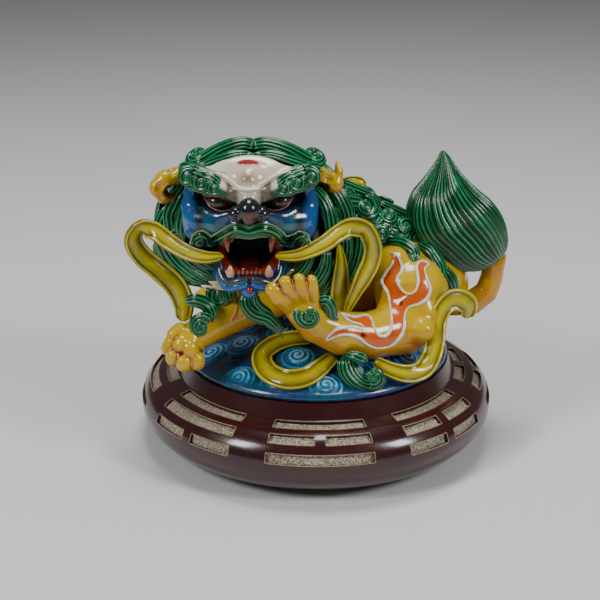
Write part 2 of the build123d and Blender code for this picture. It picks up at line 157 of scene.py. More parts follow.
def sweep(heap, path, out, section, sizes, tone=0.5, paint=(1, 1, 1)):
    """Closed tube of the given section (side, up) along the path, scaled by sizes, with capped ends."""
    _, side, up = axes_along(path, out)
    n, k = len(path), len(section)
    sizes = np.broadcast_to(sizes, (n, 2))
    rings = (
        path[:, None]
        + side[:, None] * (section[None, :, 0] * sizes[:, :1])[..., None]
        + up[:, None] * (section[None, :, 1] * sizes[:, 1:])[..., None]
    )
    verts = np.vstack([rings.reshape(-1, 3), rings[0].mean(0), rings[-1].mean(0)])
    tone = np.broadcast_to(np.asarray(tone, float), (n, k))
    tones = np.concatenate([tone.ravel(), [tone[0].mean(), tone[-1].mean()]])
    heap.add(verts, [grid_faces(n, k), *end_caps(n, k)], tones, paint)


def round_section(k=12):
    a = np.linspace(0, 2 * np.pi, k, endpoint=False)
    return np.stack([np.cos(a), np.sin(a)], 1)


def tube(heap, points, out=(0, -1, 0), count=40, tone=0.7, paint=(1, 1, 1), flat=1.0, k=12):
    """Round tube through (x, y, z, radius) points with rounded ends."""
    path = smooth_path(points, count)
    from_end = np.minimum(np.arange(count), np.arange(count)[::-1])
    end = np.sqrt(np.clip(1 - (1 - from_end / 2.5).clip(0, 1) ** 2, 0.02, 1))
    size = path[:, 3:4] * end[:, None]
    sweep(heap, path[:, :3], out, round_section(k), np.hstack([size, size * flat]), tone, paint)


# ---------------------------------------------------------------- solids as distance fields
PROBE = 0.3  # reach of a slope measurement


def ball(p, centre, radii):
    """Distance to an ellipsoid, near enough close to its surface."""
    q = p - np.array(centre, float)
    radii = np.broadcast_to(np.array(radii, float), (3,))
    k0 = np.linalg.norm(q / radii, axis=-1)
    k1 = np.linalg.norm(q / radii**2, axis=-1)
    return k0 * (k0 - 1) / np.maximum(k1, 1e-6)


def rod(p, *stations):
    """Distance to a chain of round tapered rods through (x, y, z, radius) stations."""
    nearest = np.full(p.shape[:-1], np.inf)
    for a, b in zip(stations, stations[1:]):
        a, b = np.array(a, float), np.array(b, float)
        along = b[:3] - a[:3]
        t = np.clip((p - a[:3]) @ along / (along @ along), 0, 1)
        gap = np.linalg.norm(p - a[:3] - t[..., None] * along, axis=-1)
        nearest = np.minimum(nearest, gap - a[3] - t * (b[3] - a[3]))
    return nearest


def melt(a, b, k):
    """Union of two fields with a fillet of about k."""
    h = np.clip(0.5 + 0.5 * (b - a) / k, 0, 1)
    return b + (a - b) * h - k * h * (1 - h)


def carve(a, b, k):
    """Field a with b taken out, with a fillet of about k."""
    return -melt(-a, b, k)


def skin(field, low, high, step):
    """Surface-net mesh of the zero level of the field inside the box: vertices and lists of quads."""
    low, high = np.array(low, float), np.array(high, float)
    counts = np.ceil((high - low) / step).astype(int) + 1
    lines = [low[i] + step * np.arange(counts[i]) for i in range(3)]
    value = field(np.stack(np.meshgrid(*lines, indexing="ij"), -1))
    for i in range(3):
        edge = np.moveaxis(value, i, 0)
        edge[0] = np.maximum(edge[0], step / 2)
        edge[-1] = np.maximum(edge[-1], step / 2)
    cells = tuple(counts - 1)
    total, hits = np.zeros(cells + (3,)), np.zeros(cells)
    for axis in range(3):
        b, c = [i for i in range(3) if i != axis]
        for shift_b in (0, 1):
            for shift_c in (0, 1):
                start = [0, 0, 0]
                start[b], start[c] = shift_b, shift_c
                end = list(start)
                end[axis] = 1
                f0, f1 = (value[tuple(slice(a, a + n) for a, n in zip(at, cells))] for at in (start, end))
                cross = (f0 < 0) != (f1 < 0)
                t = np.where(cross, f0 / np.where(cross, f0 - f1, 1), 0)
                for i in range(3):
                    total[..., i] += cross * (start[i] if i != axis else t)
                hits += cross
    active = hits > 0
    index = np.full(cells, -1)
    index[active] = np.arange(active.sum())
    verts = low + step * (np.argwhere(active) + total[active] / hits[active][:, None])
    faces = []
    for axis in range(3):
        b, c = (axis + 1) % 3, (axis + 2) % 3
        span = [slice(1, n) for n in cells]
        span[axis] = slice(0, cells[axis])
        after = list(span)
        after[axis] = slice(1, cells[axis] + 1)
        inside, beyond = value[tuple(span)] < 0, value[tuple(after)] < 0
        base = np.argwhere(inside != beyond) + (np.arange(3) != axis)
        solid_first = inside[inside != beyond]
        quad = []
        for shift_b, shift_c in ((-1, -1), (0, -1), (0, 0), (-1, 0)):
            at = base.copy()
            at[:, b] += shift_b
            at[:, c] += shift_c
            quad.append(index[tuple(at.T)])
        quad = np.stack(quad, 1)
        quad[~solid_first] = quad[~solid_first][:, ::-1]
        faces.append(quad)
    return verts, [np.vstack(faces)]


def slope(field, p):
    """Outward direction of the field at each point."""
    grad = [field(p + e) - field(p - e) for e in PROBE * np.eye(3)]
    return normalised(np.stack(grad, -1))


def settle(field, points, lift=0.0, rounds=4):
    """The points moved to lift above the zero level of the field."""
    p = np.array(points, float)
    for _ in range(rounds):
        p -= slope(field, p) * (field(p) - lift)[:, None]
    return p


def hollow_tone(field, verts, reaches=(1.2, 3.0, 6.0)):
    """Tone from 0 in deep creases to 1 on open ridges; the materials paint it as shade in the creases and as
    highlight on the ridges.
    """
    out = slope(field, verts)
    open_share = [np.clip(field(verts + out * d) / d, 0, 1) for d in reaches]
    ridge = np.clip(field(verts - out * 1.5) / -1.5, 0, 1.5)
    return np.clip(0.85 * np.mean(open_share, 0) + 0.35 * (1 - ridge), 0, 1)


# ---------------------------------------------------------------- hair
STRAND_POINTS = 6  # points across one strand
BELLY = 0.45  # how deep a lock is under its middle, as a share of its height
SNAIL_TURNS = 1.6


def lock_section(strands, belly):
    """Half-round section with a ridge for each strand, and each point's tone, which paints highlight on the
    strand crests and shade in the grooves and underneath; belly is its depth below.
    """
    top = np.linspace(0, np.pi, strands * STRAND_POINTS + 1)
    wave = np.abs(np.sin(strands * top))
    reach = 0.8 + 0.24 * wave**0.6
    under = np.linspace(np.pi, 2 * np.pi, 8)[1:-1]
    x = np.concatenate([np.cos(top) * reach, np.cos(under) * 0.8])
    y = np.concatenate([np.sin(top) * reach, np.sin(under) * belly])
    return np.stack([x, y], 1), np.concatenate([wave, np.zeros(len(under))])


def lock(heap, points, out, strands=6, thick=0.55, hand=0, turns=1.5, count=28, belly=BELLY):
    """Lock of hair through (x, y, z, half width) points; hand of +1 or -1 winds its end into a snail curl."""
    path = smooth_path(points, count)
    widths = path[:, 3]
    path = path[:, :3]
    out = np.broadcast_to(np.array(out, float), path.shape)
    if hand:
        tangent, side, up = axes_along(path, out)
        w = widths[-1]
        t, s, u = tangent[-1], side[-1] * hand, up[-1]
        eye = path[-1] + s * w
        angle = np.linspace(0, turns * 2 * np.pi, int(14 * turns) + 2)[1:]
        reach = w * np.exp(-angle / (2 * np.pi) * 1.15)  # the curl tightens to a third in one turn
        swirl = eye - s * (np.cos(angle) * reach)[:, None] + t * (np.sin(angle) * reach)[:, None]
        swirl += u * ((1 - reach / w) * 0.35 * w)[:, None]
        path = np.vstack([path, swirl])
        widths = np.concatenate([widths, reach])
        out = np.vstack([out, np.broadcast_to(u, swirl.shape)])
    section, tone = lock_section(strands, belly)
    n = len(path)
    ends = np.minimum(1, 0.25 + np.arange(n) / 4)
    if not hand:
        ends = ends * np.minimum(1, 0.12 + (n - 1 - np.arange(n)) / 7)
    half = widths * ends
    heights = np.maximum(half * thick, 0.25)
    sweep(heap, path, out, section, np.stack([half, heights], 1), np.tile(tone, (n, 1)))


def lay_lock(heap, field, points, lift=0.4, **style):
    """Lock laid on the surface of a field."""
    path = smooth_path(points, 14)
    on = settle(field, path[:, :3], lift)
    path = np.hstack([on, path[:, 3:]])
    out = slope(field, smooth_path(on, style.get("count", 28)))
    lock(heap, path, out, **style)


def snail(heap, centre, facing, radius, hand, start, strands=4, thick=0.5, belly=BELLY):
    """Free-standing snail curl that faces the given way; start is the angle where its outer end lies."""
    facing = normalised(np.array(facing, float))
    right = normalised(np.cross(np.array([0, 0, 1.0]), facing))
    over = np.cross(facing, right)
    angle = start + hand * np.linspace(0, 2 * np.pi * SNAIL_TURNS, 32)
    reach = radius / 2 * np.exp(-np.abs(angle - start) / (2 * np.pi) * 0.95)
    rise = (1 - 2 * reach / radius) * 0.4 * radius
    path = np.array(centre, float) + (
        right * (np.cos(angle) * reach)[:, None]
        + over * (np.sin(angle) * reach)[:, None]
        + facing * rise[:, None]
    )
    section, tone = lock_section(strands, belly)
    sizes = np.stack([reach, np.maximum(reach * thick * 1.5, 0.4)], 1)
    sweep(heap, path, facing, section, sizes, np.tile(tone, (len(path), 1)))


# ---------------------------------------------------------------- materials
def blank(name):
    """New node material: its tree, its shader and a helper that adds a node and links its inputs."""
    material = bpy.data.materials.new(name)
    material.use_nodes = True
    tree = material.node_tree
    shader = tree.nodes["Principled BSDF"]

    def node(kind, **inputs):
        made = tree.nodes.new(kind)
        for key, value in inputs.items():
            socket = made.inputs[int(key[1:])] if key[0] == "i" and key[1:].isdigit() else made.inputs[key]
            if isinstance(value, bpy.types.NodeSocket):
                tree.links.new(value, socket)
            else:
                socket.default_value = value
        return made

    return material, shader, node


def noise(node, scale, detail):
    """Noise value between 0 and 1 that is fixed to the object."""
    place = node("ShaderNodeTexCoord").outputs["Object"]
    return node("ShaderNodeTexNoise", Vector=place, Scale=scale, Detail=detail).outputs["Fac"]


def spread(node, value, **limits):
    """The value carried from one range to another and held inside it."""
    names = {"start": "From Min", "end": "From Max", "low": "To Min", "high": "To Max"}
    limits = {names[key]: limit for key, limit in limits.items()}
    return node("ShaderNodeMapRange", Value=value, **limits).outputs["Result"]


def unevenness(node, scale, amount):
    """Noise around zero, for patchy brushwork."""
    return maths(node, "MULTIPLY", maths(node, "SUBTRACT", noise(node, scale, 4), 0.5), amount)


def ramp(node, value, *stops):
    """Colour ramp over (position, (r, g, b)) stops."""
    made = node("ShaderNodeValToRGB", Fac=value)
    elements = made.color_ramp.elements
    while len(elements) < len(stops):
        elements.new(0.5)
    for element, (position, colour) in zip(elements, stops):
        element.position = position
        element.color = (*colour, 1)
    return made.outputs["Color"]


def maths(node, kind, a, b):
    made = node("ShaderNodeMath", i0=a, i1=b)
    made.operation = kind
    return made.outputs[0]


def blend_colours(node, kind, share, a, b):
    made = node("ShaderNodeMix", i0=share, i6=a, i7=b)
    made.data_type = "RGBA"
    made.blend_type = kind
    return made.outputs[2]


def attribute(node, name, output):
    made = node("ShaderNodeAttribute")
    made.attribute_name = name
    return made.outputs[output]


def feed(shader, socket, value):
    shader.id_data.links.new(value, shader.inputs[socket])


def bumped(node, shader, height, strength, distance):
    bump = node("ShaderNodeBump", Strength=strength, Distance=distance, Height=height)
    feed(shader, "Normal", bump.outputs["Normal"])


def gloss_coat(shader, node, rough=(0.12, 0.26), coat=0.5):
    """Brushed-on lacquer: thick and thin patches and a clear coat."""
    feed(shader, "Roughness", spread(node, noise(node, 260, 4), low=rough[0], high=rough[1]))
    shader.inputs["Coat Weight"].default_value = coat
    shader.inputs["Coat Roughness"].default_value = 0.09
    shader.inputs["Coat IOR"].default_value = 1.5


def hand_painted(name, *stops, mottle=0.3, scale=170, use_paint=False, coat=0.5, rough=(0.12, 0.26)):
    """Glossy paint whose colour follows the tone: painted shade in creases and painted highlight on ridges,
    with uneven brushing; paint tints it locally.
    """
    material, shader, node = blank(name)
    tone = attribute(node, "tone", "Fac")
    colour = ramp(node, maths(node, "ADD", tone, unevenness(node, scale, mottle)), *stops)
    if use_paint:
        colour = blend_colours(node, "MULTIPLY", 1.0, colour, attribute(node, "paint", "Color"))
    feed(shader, "Base Color", colour)
    gloss_coat(shader, node, rough, coat)
    brush = maths(node, "ADD", noise(node, 420, 3), maths(node, "MULTIPLY", noise(node, 1500, 2), 0.1))
    bumped(node, shader, brush, 0.18, 0.0004)
    return material


def green_hair():
    # Near-black painted shade in the grooves rising to a pale green painted highlight on the crests.
    return hand_painted(
        "green_hair", (0.0, (0.0, 0.01, 0.005)), (0.45, (0.0, 0.026, 0.009)), (0.78, (0.0, 0.085, 0.022)),
        (0.94, (0.0, 0.21, 0.06)), (1.0, (0.01, 0.34, 0.14)), mottle=0.34, scale=130, use_paint=True,
        coat=0.4,
    )


def painted_skin():
    """Lion's coat and face: the local paint, darkened by painted shade in creases and lifted by painted
    highlight on ridges.
    """
    return hand_painted(
        "painted_skin", (0.0, (0.16, 0.1, 0.08)), (0.3, (0.52, 0.42, 0.36)), (0.62, (0.92, 0.9, 0.88)),
        (1.0, (1.0, 1.0, 1.0)), mottle=0.34, scale=110, use_paint=True,
    )


def ribbon_gold():
    # Dark painted shade in the grooves rising to a bright painted highlight on the rims and ridge.
    return hand_painted(
        "ribbon_gold", (0.0, (0.022, 0.015, 0.0)), (0.4, (0.17, 0.125, 0.0)), (0.75, (0.44, 0.37, 0.0)),
        (1.0, (0.82, 0.72, 0.0)), mottle=0.42, scale=90, use_paint=True,
    )


def cloud_blue():
    """Washes of navy and teal over the scrolls, with painted shade in their grooves and a pale blue painted
    highlight on their ridges.
    """
    material, shader, node = blank("cloud_blue")
    shade = maths(node, "ADD", attribute(node, "tone", "Fac"), unevenness(node, 240, 0.4))
    navy = ramp(node, shade, (0.0, (0.002, 0.006, 0.04)), (0.35, (0.006, 0.05, 0.22)),
                (0.7, (0.03, 0.22, 0.54)), (1.0, (0.4, 0.56, 0.76)))
    teal = ramp(node, shade, (0.0, (0.001, 0.016, 0.03)), (0.35, (0.004, 0.1, 0.21)),
                (0.7, (0.02, 0.28, 0.46)), (1.0, (0.4, 0.6, 0.7)))
    drift = spread(node, noise(node, 34, 2), start=0.42, end=0.6)
    feed(shader, "Base Color", blend_colours(node, "MIX", drift, navy, teal))
    gloss_coat(shader, node, (0.18, 0.38))
    bumped(node, shader, noise(node, 700, 3), 0.25, 0.0004)
    return material


def base_lacquer():
    """Dark red-brown lacquer with faint dust, swirl scratches and softer worn patches."""
    material, shader, node = blank("base_lacquer")
    colour = ramp(node, noise(node, 45, 4), (0.3, (0.026, 0.003, 0.004)), (0.55, (0.04, 0.005, 0.006)),
                  (0.75, (0.052, 0.008, 0.008)))
    dust = maths(node, "MULTIPLY", spread(node, noise(node, 2600, 1), start=0.7, end=0.76), 0.25)
    feed(shader, "Base Color", blend_colours(node, "MIX", dust, colour, (0.22, 0.17, 0.15, 1)))
    feed(shader, "Roughness", spread(node, noise(node, 120, 5), low=0.12, high=0.3))
    shader.inputs["Coat Weight"].default_value = 0.35
    shader.inputs["Coat Roughness"].default_value = 0.12
    bumped(node, shader, noise(node, 900, 4), 0.1, 0.0003)
    return material


def grit_inlay():
    """Pale gold grit set under lacquer: coarse flecks of white and tan in a dull gold ground."""
    material, shader, node = blank("grit_inlay")
    place = node("ShaderNodeTexCoord").outputs["Object"]
    cells = node("ShaderNodeTexVoronoi", Vector=place, Scale=2400)
    flecks = node("ShaderNodeSeparateColor", Color=cells.outputs["Color"])
    colour = ramp(node, flecks.outputs["Red"], (0.0, (0.09, 0.07, 0.04)), (0.35, (0.26, 0.21, 0.14)),
                  (0.7, (0.46, 0.4, 0.28)), (1.0, (0.8, 0.74, 0.6)))
    feed(shader, "Base Color", colour)
    feed(shader, "Metallic", maths(node, "MULTIPLY", flecks.outputs["Green"], 0.35))
    shader.inputs["Roughness"].default_value = 0.33
    bumped(node, shader, cells.outputs["Distance"], 0.6, 0.0006)
    return material


def wet_mouth():
    # Painted shade in hollows rising to painted highlight on ridges, over the local paint.
    return hand_painted(
        "wet_mouth", (0.0, (0.1, 0.06, 0.05)), (0.5, (0.6, 0.55, 0.5)), (1.0, (1, 1, 1)), mottle=0.3,
        scale=200, use_paint=True,
    )


def enamel(name, colour, vein):
    """Smooth brushed enamel for small parts, a little uneven."""
    material, shader, node = blank(name)
    feed(shader, "Base Color", ramp(node, noise(node, 520, 3), (0.3, vein), (0.62, colour)))
    gloss_coat(shader, node, (0.12, 0.24), 0.7)
    bumped(node, shader, noise(node, 900, 2), 0.15, 0.0003)
    return material


def metal(name, colour, rough):
    """Turned or plated metal with fine tool marks."""
    material, shader, node = blank(name)
    shader.inputs["Metallic"].default_value = 1.0
    worn = tuple(c * 0.8 for c in colour)
    feed(shader, "Base Color", ramp(node, noise(node, 900, 2), (0.35, worn), (0.65, colour)))
    feed(shader, "Roughness", spread(node, noise(node, 1800, 2), low=rough - 0.08, high=rough + 0.08))
    bumped(node, shader, noise(node, 2500, 1), 0.2, 0.0002)
    return material


def felt():
    material, shader, node = blank("felt")
    black, grey = (0.008, 0.008, 0.009), (0.03, 0.03, 0.032)
    feed(shader, "Base Color", ramp(node, noise(node, 1800, 5), (0.3, black), (0.7, grey)))
    shader.inputs["Roughness"].default_value = 0.95
    shader.inputs["Sheen Weight"].default_value = 0.4
    bumped(node, shader, noise(node, 3000, 4), 0.8, 0.0005)
    return material


def nylon():
    material, shader, node = blank("nylon")
    dull, bright = (0.6, 0.58, 0.52), (0.72, 0.7, 0.64)
    feed(shader, "Base Color", ramp(node, noise(node, 300, 2), (0.3, dull), (0.7, bright)))
    shader.inputs["Roughness"].default_value = 0.45
    bumped(node, shader, noise(node, 1500, 2), 0.2, 0.0003)
    return material


HAIR, SKIN, RIBBON, CLOUD = green_hair(), painted_skin(), ribbon_gold(), cloud_blue()
LACQUER, GRIT, MOUTH = base_lacquer(), grit_inlay(), wet_mouth()
WHITE_LINE = enamel("white_line", (0.82, 0.79, 0.7), (0.62, 0.52, 0.4))


# ---------------------------------------------------------------- base: carried-over nodes, better materials
def dress(node, material):
    """Gives a CAD node a new material."""
    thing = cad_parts[node]
    thing.data.materials.clear()
    thing.data.materials.append(material)


def finish_base():
    dress("base_shell", LACQUER)
    dress("base_plate", LACQUER)
    dress("felt_pad", felt())
    for ring in ("inner", "middle", "outer"):
        dress(f"{ring}_line_inlays", GRIT)
    dress("deck_bushing", metal("brass", (0.62, 0.42, 0.16), 0.3))
    dress("thrust_ring", nylon())
    steel = metal("zinc_steel", (0.55, 0.55, 0.57), 0.35)
    for node in ("pivot_stud", "pivot_nut", "pivot_washer"):
        dress(node, steel)


# From the inner line to the outer one; 1 is a whole line, 0 a broken one.
TRIGRAMS = ("101", "100", "000", "001", "010", "011", "111", "110")
# By radius in the inner ring, then by angle round the bulge.
POCKET_REACH = ((65.3, 70.2), (46.5, 66.5), (9.5, 28.5))
WHOLE_LINE, BROKEN_LINE = [(-16.5, 16.5)], [(-16.5, -1.75), (1.75, 16.5)]  # degrees from a trigram's middle


def on_base(ring, reach, angle):
    """Points on the base's surface: its sloping deck in the inner ring, and its round bulge in the others."""
    if ring == 0:
        radius, height = reach, 33 - (reach - 64.5) * 0.274
    else:
        radius, height = 68.7 + 13.5 * np.cos(np.radians(reach)), 18 + 13.5 * np.sin(np.radians(reach))
    angle = np.radians(angle)
    return np.stack(np.broadcast_arrays(radius * np.cos(angle), radius * np.sin(angle), height), 1)


def pocket_edges():
    """Cream line painted round each sunk trigram line of the base."""
    heap = Heap()
    for place, trigram in enumerate(TRIGRAMS):
        for ring, (low, high) in enumerate(POCKET_REACH):
            middle = place * 45 - 90
            for start, end in WHOLE_LINE if trigram[ring] == "1" else BROKEN_LINE:
                around, rise = np.linspace(middle + start, middle + end, 14), np.linspace(low, high, 6)
                for edge in (on_base(ring, low, around), on_base(ring, high, around),
                             on_base(ring, rise, middle + start), on_base(ring, rise, middle + end)):
                    out = normalised(edge * (1, 1, 0) + (0, 0, 30))
                    sweep(heap, edge, out, round_section(6), (0.22, 0.12))
    cream = enamel("cream_line", (0.36, 0.27, 0.17), (0.2, 0.13, 0.08))
    heap.piece("pocket_edges", cream, "line_inlay", body="base")


finish_base()
pocket_edges()


# ---------------------------------------------------------------- mound
SCROLLS = [(-34, -22), (-35, -46), (3, -56), (-9, -38), (-48, -22), (40, -30)]  # scrolls with a set place
SCROLL_GAP = 13.5  # least distance between two scrolls
CURL_RADIUS, CURL_PITCH = 5.2, 2.35
DOME_R = (0, 22, 38, 49, 57, 60.4, 61.3)
DOME_Z = (56.5, 55.6, 52.2, 48.6, 45.0, 42.9, 41.6)


def dome_height(r):
    """Height of the mound's smooth dome at radius r."""
    return np.interp(r, DOME_R, DOME_Z)


def mound_field(p):
    return (p[..., 2] - dome_height(np.hypot(p[..., 0], p[..., 1]))) * 0.85


def scroll_centres():
    """Middles of the cloud scrolls: a few set places and the rest scattered, none too close."""
    rng = np.random.default_rng(11)
    centres = list(SCROLLS)
    for _ in range(900):
        r, a = 58 * np.sqrt(rng.random()), 2 * np.pi * rng.random()
        spot = (r * np.cos(a), r * np.sin(a))
        if 12 < r < 56 and all(np.hypot(spot[0] - x, spot[1] - y) > SCROLL_GAP for x, y in centres):
            centres.append(spot)
    return np.array(centres)


def cloud_mound():
    rings = np.concatenate([np.linspace(0.5, 14, 10), np.linspace(14.6, 60.4, 108), [60.9, MOUND_RADIUS]])
    spokes = 560
    a = np.linspace(0, 2 * np.pi, spokes, endpoint=False)
    x, y = rings[:, None] * np.cos(a), rings[:, None] * np.sin(a)
    centres = scroll_centres()
    dx, dy = x[..., None] - centres[:, 0], y[..., None] - centres[:, 1]
    apart = np.hypot(dx, dy)
    near = apart.argmin(-1)[..., None]
    d = np.take_along_axis(apart, near, -1)[..., 0]
    twist = np.take_along_axis(np.arctan2(dy, dx), near, -1)[..., 0] * np.where(near[..., 0] % 2, 1, -1)
    wound = np.where(d < CURL_RADIUS, twist / (2 * np.pi), 0)
    ridge = 0.5 + 0.5 * np.cos(2 * np.pi * (d / CURL_PITCH - wound))
    ridge = ridge ** 0.7 * np.clip((9.5 - d) / 3, 0.12, 1)
    swell = np.clip(1 - (d / (CURL_RADIUS + 1.5)) ** 2, 0, 1)
    fade = np.clip((59.5 - rings[:, None]) / 3, 0, 1) * np.clip((rings[:, None] - 10) / 4, 0, 1)
    z = dome_height(rings)[:, None] + fade * (0.85 * ridge + 1.3 * swell - 0.9)
    z[-1] = dome_height(MOUND_RADIUS)
    # Tone paints highlight on the scroll ridges and shade in their grooves; near the rim, in the middle and
    # down the side it stays low as painted shade.
    tone = np.clip((0.08 + 0.75 * ridge + 0.15 * swell) * fade + 0.2 * (1 - fade), 0, 1)
    low = MOUND_LOW[2]
    x, y = np.vstack([x, x[-1:]]), np.vstack([y, y[-1:]])
    z, tone = np.vstack([z, np.full((1, spokes), low)]), np.vstack([tone, np.full((1, spokes), 0.1)])
    verts = np.vstack([np.stack([x, y, z], -1).reshape(-1, 3), [[0, 0, dome_height(0) - 0.9]], [[0, 0, low]]])
    faces = [part[:, ::-1] for part in (grid_faces(len(z), spokes), *end_caps(len(z), spokes))]
    heap = Heap(verts, faces, np.append(tone.ravel(), [0.2, 0.1]))
    heap.piece("cloud_mound_carved", CLOUD, "cloud_paint", "cloud_mound")


cloud_mound()


# ---------------------------------------------------------------- coat: torso, legs and paws
YELLOW, AMBER, RUST = np.array([(0.6, 0.4, 0.0), (0.55, 0.12, 0.0), (0.3, 0.05, 0.004)])
FLAME = np.array([0.62, 0.1, 0.004])
EYE_POINT = np.array([-15.2, -557.9, 269.2])  # where the statue is meant to be seen from
FLAME_PLANE = -34.0
# Outline of the flame mark on the haunch and shin, seen from EYE_POINT in the plane y = FLAME_PLANE.
FLAME_OUTLINE = [
    (30.6, 97.8), (32.1, 94), (29, 88.8), (27.7, 84.8), (30.5, 79.3), (31.7, 72), (32.3, 64.7), (30.3, 60),
    (26.8, 60), (24.5, 64), (23.1, 68), (20.6, 69.5), (15.7, 68.5), (10.2, 69.8), (14.2, 66.5), (19, 65),
    (19.6, 62.8), (15, 64), (9.7, 63.3), (6.5, 61.9), (3.6, 57.8), (10.3, 60.2), (17, 59.2), (22.3, 55.2),
    (27, 53.8), (32, 54.8), (35.6, 58.2), (37.9, 63.1), (38, 69.5), (39.8, 73.2), (44.3, 74.7), (47.6, 77.5),
    (48.7, 81.5), (46.9, 87), (46, 91), (47.6, 93), (44.4, 94.3), (42.3, 91.8), (43.4, 85.5), (42.2, 80.6),
    (39.3, 79.4), (36.4, 81.2), (34.2, 86), (36.3, 90.7), (35, 94.6), (33.2, 97.2),
]
FLAME_NICKS = ((36.3, 75.2), (19.6, 59.9))  # small dark dabs inside the mark


def trunk_field(p):
    trunk = rod(p, (61, 6, 70, 10.5), (52, 7, 74, 18.5), (40, 7, 76, 21), (18, 7, 76, 20), (-4, 4, 77, 20),
                (-22, -6, 77, 18), (-30, -14, 76, 13))
    haunch = melt(rod(p, (36, -14, 83, 11.5), (42, -17, 74, 17), (40, -24, 63, 13)),
                  ball(p, (46, -31, 67), (8, 6, 8)), 4)
    far_haunch = rod(p, (36, 26, 82, 10), (42, 29, 73, 15), (40, 34, 60, 11))
    trunk = melt(melt(trunk, haunch, 6), far_haunch, 6)
    hind = rod(p, (37, -29, 61, 11.5), (22, -37, 61, 10.5), (10, -42, 64, 9.5), (-1, -46, 70, 8.2),
               (-7, -48, 77, 7.2))
    far_hind = rod(p, (40, 38, 57, 9.5), (26, 42, 56, 9), (12, 44, 54.5, 7.5))
    front = rod(p, (-24, -16, 74, 13), (-36, -28, 69.5, 9), (-47, -36, 65.5, 7.4), (-55, -41, 62, 6.8))
    far_front = rod(p, (-30, 12, 72, 12), (-38, 24, 66, 10.5), (-44, 34, 58, 9), (-46, 39, 54, 7.5))
    for leg in (hind, far_hind, front, far_front):
        trunk = melt(trunk, leg, 5)
    return melt(trunk, ball(p, (45.5, -38, 63.5), (5.5, 4.5, 5)), 3)


def toes(p, body, *fingers, crease=1.1):
    """Body with rounded toes joined by a crisp crease."""
    for finger in fingers:
        body = melt(body, rod(p, *finger), crease)
    return body


def paw_fields(p):
    """The four paws: the front one on the rim, the raised hind one, and the two far ones."""
    front = toes(
        p, ball(p, (-57, -42.5, 60.5), (8, 7, 8)),
        ((-60, -43.5, 66.5, 3.2), (-62.5, -44.5, 64.5, 3.3)),
        ((-63.5, -45, 61.5, 3.3), (-65, -45, 58.5, 3.4)), ((-59, -47, 62, 3.6), (-59.6, -47.4, 61, 3.6)),
        ((-62.6, -48, 56.6, 3.4), (-62.8, -48, 55, 3.4)), ((-55.5, -48, 60, 3.7), (-55.2, -48.4, 58.5, 3.7)),
        ((-58, -50, 54.4, 3.6), (-58, -50, 53.2, 3.6)),
        ((-52.8, -48.5, 54.8, 3.7), (-52.8, -48.5, 53.4, 3.7)), crease=0.3,
    )
    hind = toes(
        p, ball(p, (-7.5, -48, 79.5), (8.5, 6, 7.5)),
        ((-11.5, -49, 79.5, 4.4), (-16.8, -52, 84.8, 4.5), (-19.3, -53, 88, 3.7)),
        ((-9.5, -50, 83, 3.9), (-13.2, -53, 89, 3.5), (-14.4, -53.5, 91.6, 3.0)),
        ((-6.5, -50, 83, 3.7), (-8.3, -53, 90, 3.3), (-8.8, -53, 92.6, 2.8)),
        ((-3.2, -49, 82, 3.5), (-3.6, -52, 89, 3.0), (-3.6, -52, 91.8, 2.6)), crease=0.3,
    )
    far_front = toes(
        p, ball(p, (-47, 40, 52), (9, 8.5, 6)),
        *(((x, y, 51.5, 4.2), (x * 1.04, y * 1.04, 49.8, 3.9))
          for x, y in ((-54, 41.5), (-51, 46), (-46, 47.5), (-41, 45))),
        crease=0.8,
    )
    far_hind = toes(
        p, ball(p, (8, 45, 54), (9, 7.5, 6)),
        *(((x, y, 54.5, 4.0), (x - 1.5, y + 0.6, 53.5, 3.8)) for x, y in ((3, 40.5), (1.5, 45), (3.5, 49))),
        crease=0.8,
    )
    return front, hind, far_front, far_hind


def seen_at(field, x, z, plane=FLAME_PLANE, lift=0.0):
    """Where rays from EYE_POINT through (x, z) of the plane y = plane first meet the field."""
    aim = np.stack(np.broadcast_arrays(np.array(x, float), plane, np.array(z, float)), 1)
    ray = normalised(aim - EYE_POINT)
    p = aim - ray * 70
    for _ in range(60):
        p = p + ray * np.clip(field(p) * 0.9, -2, 6)[:, None]
    p = np.where((np.abs(field(p)) < 0.5)[:, None], p, aim)
    return p + slope(field, p) * lift


def inside_outline(x, z, outline):
    """True where (x, z) lies inside the closed outline."""
    inside = np.zeros(len(x), bool)
    for (x0, z0), (x1, z1) in zip(outline, np.roll(outline, -1, 0)):
        if z0 != z1:
            inside ^= ((z0 > z) != (z1 > z)) & (x < (x1 - x0) * (z - z0) / (z1 - z0) + x0)
    return inside


def smooth_loop(points, count):
    """Closed smooth outline through the points."""
    p = np.array(points, float)
    around = smooth_path(np.vstack([p[-2:], p, p[:2]]), count * (len(p) + 3) // len(p))
    return around[2 * count // len(p):][:count]


def washed(paint, share, colour):
    """The paint with a share of another colour washed over it."""
    return paint + (np.array(colour) - paint) * np.clip(share, 0, 1)[:, None]


def shaded(field, verts, tone, top=YELLOW):
    """Coat colour: the top colour on upper and open parts, amber as painted shade on the undersides and in
    hollows.
    """
    out = slope(field, verts)
    drift = 0.12 * np.sin(verts[:, 0] * 0.31 + 1.3) * np.sin(verts[:, 2] * 0.37) * np.cos(verts[:, 1] * 0.23)
    return washed(AMBER, 0.55 + 0.5 * out[:, 2] + 2.0 * (tone - 0.74) + drift, top)


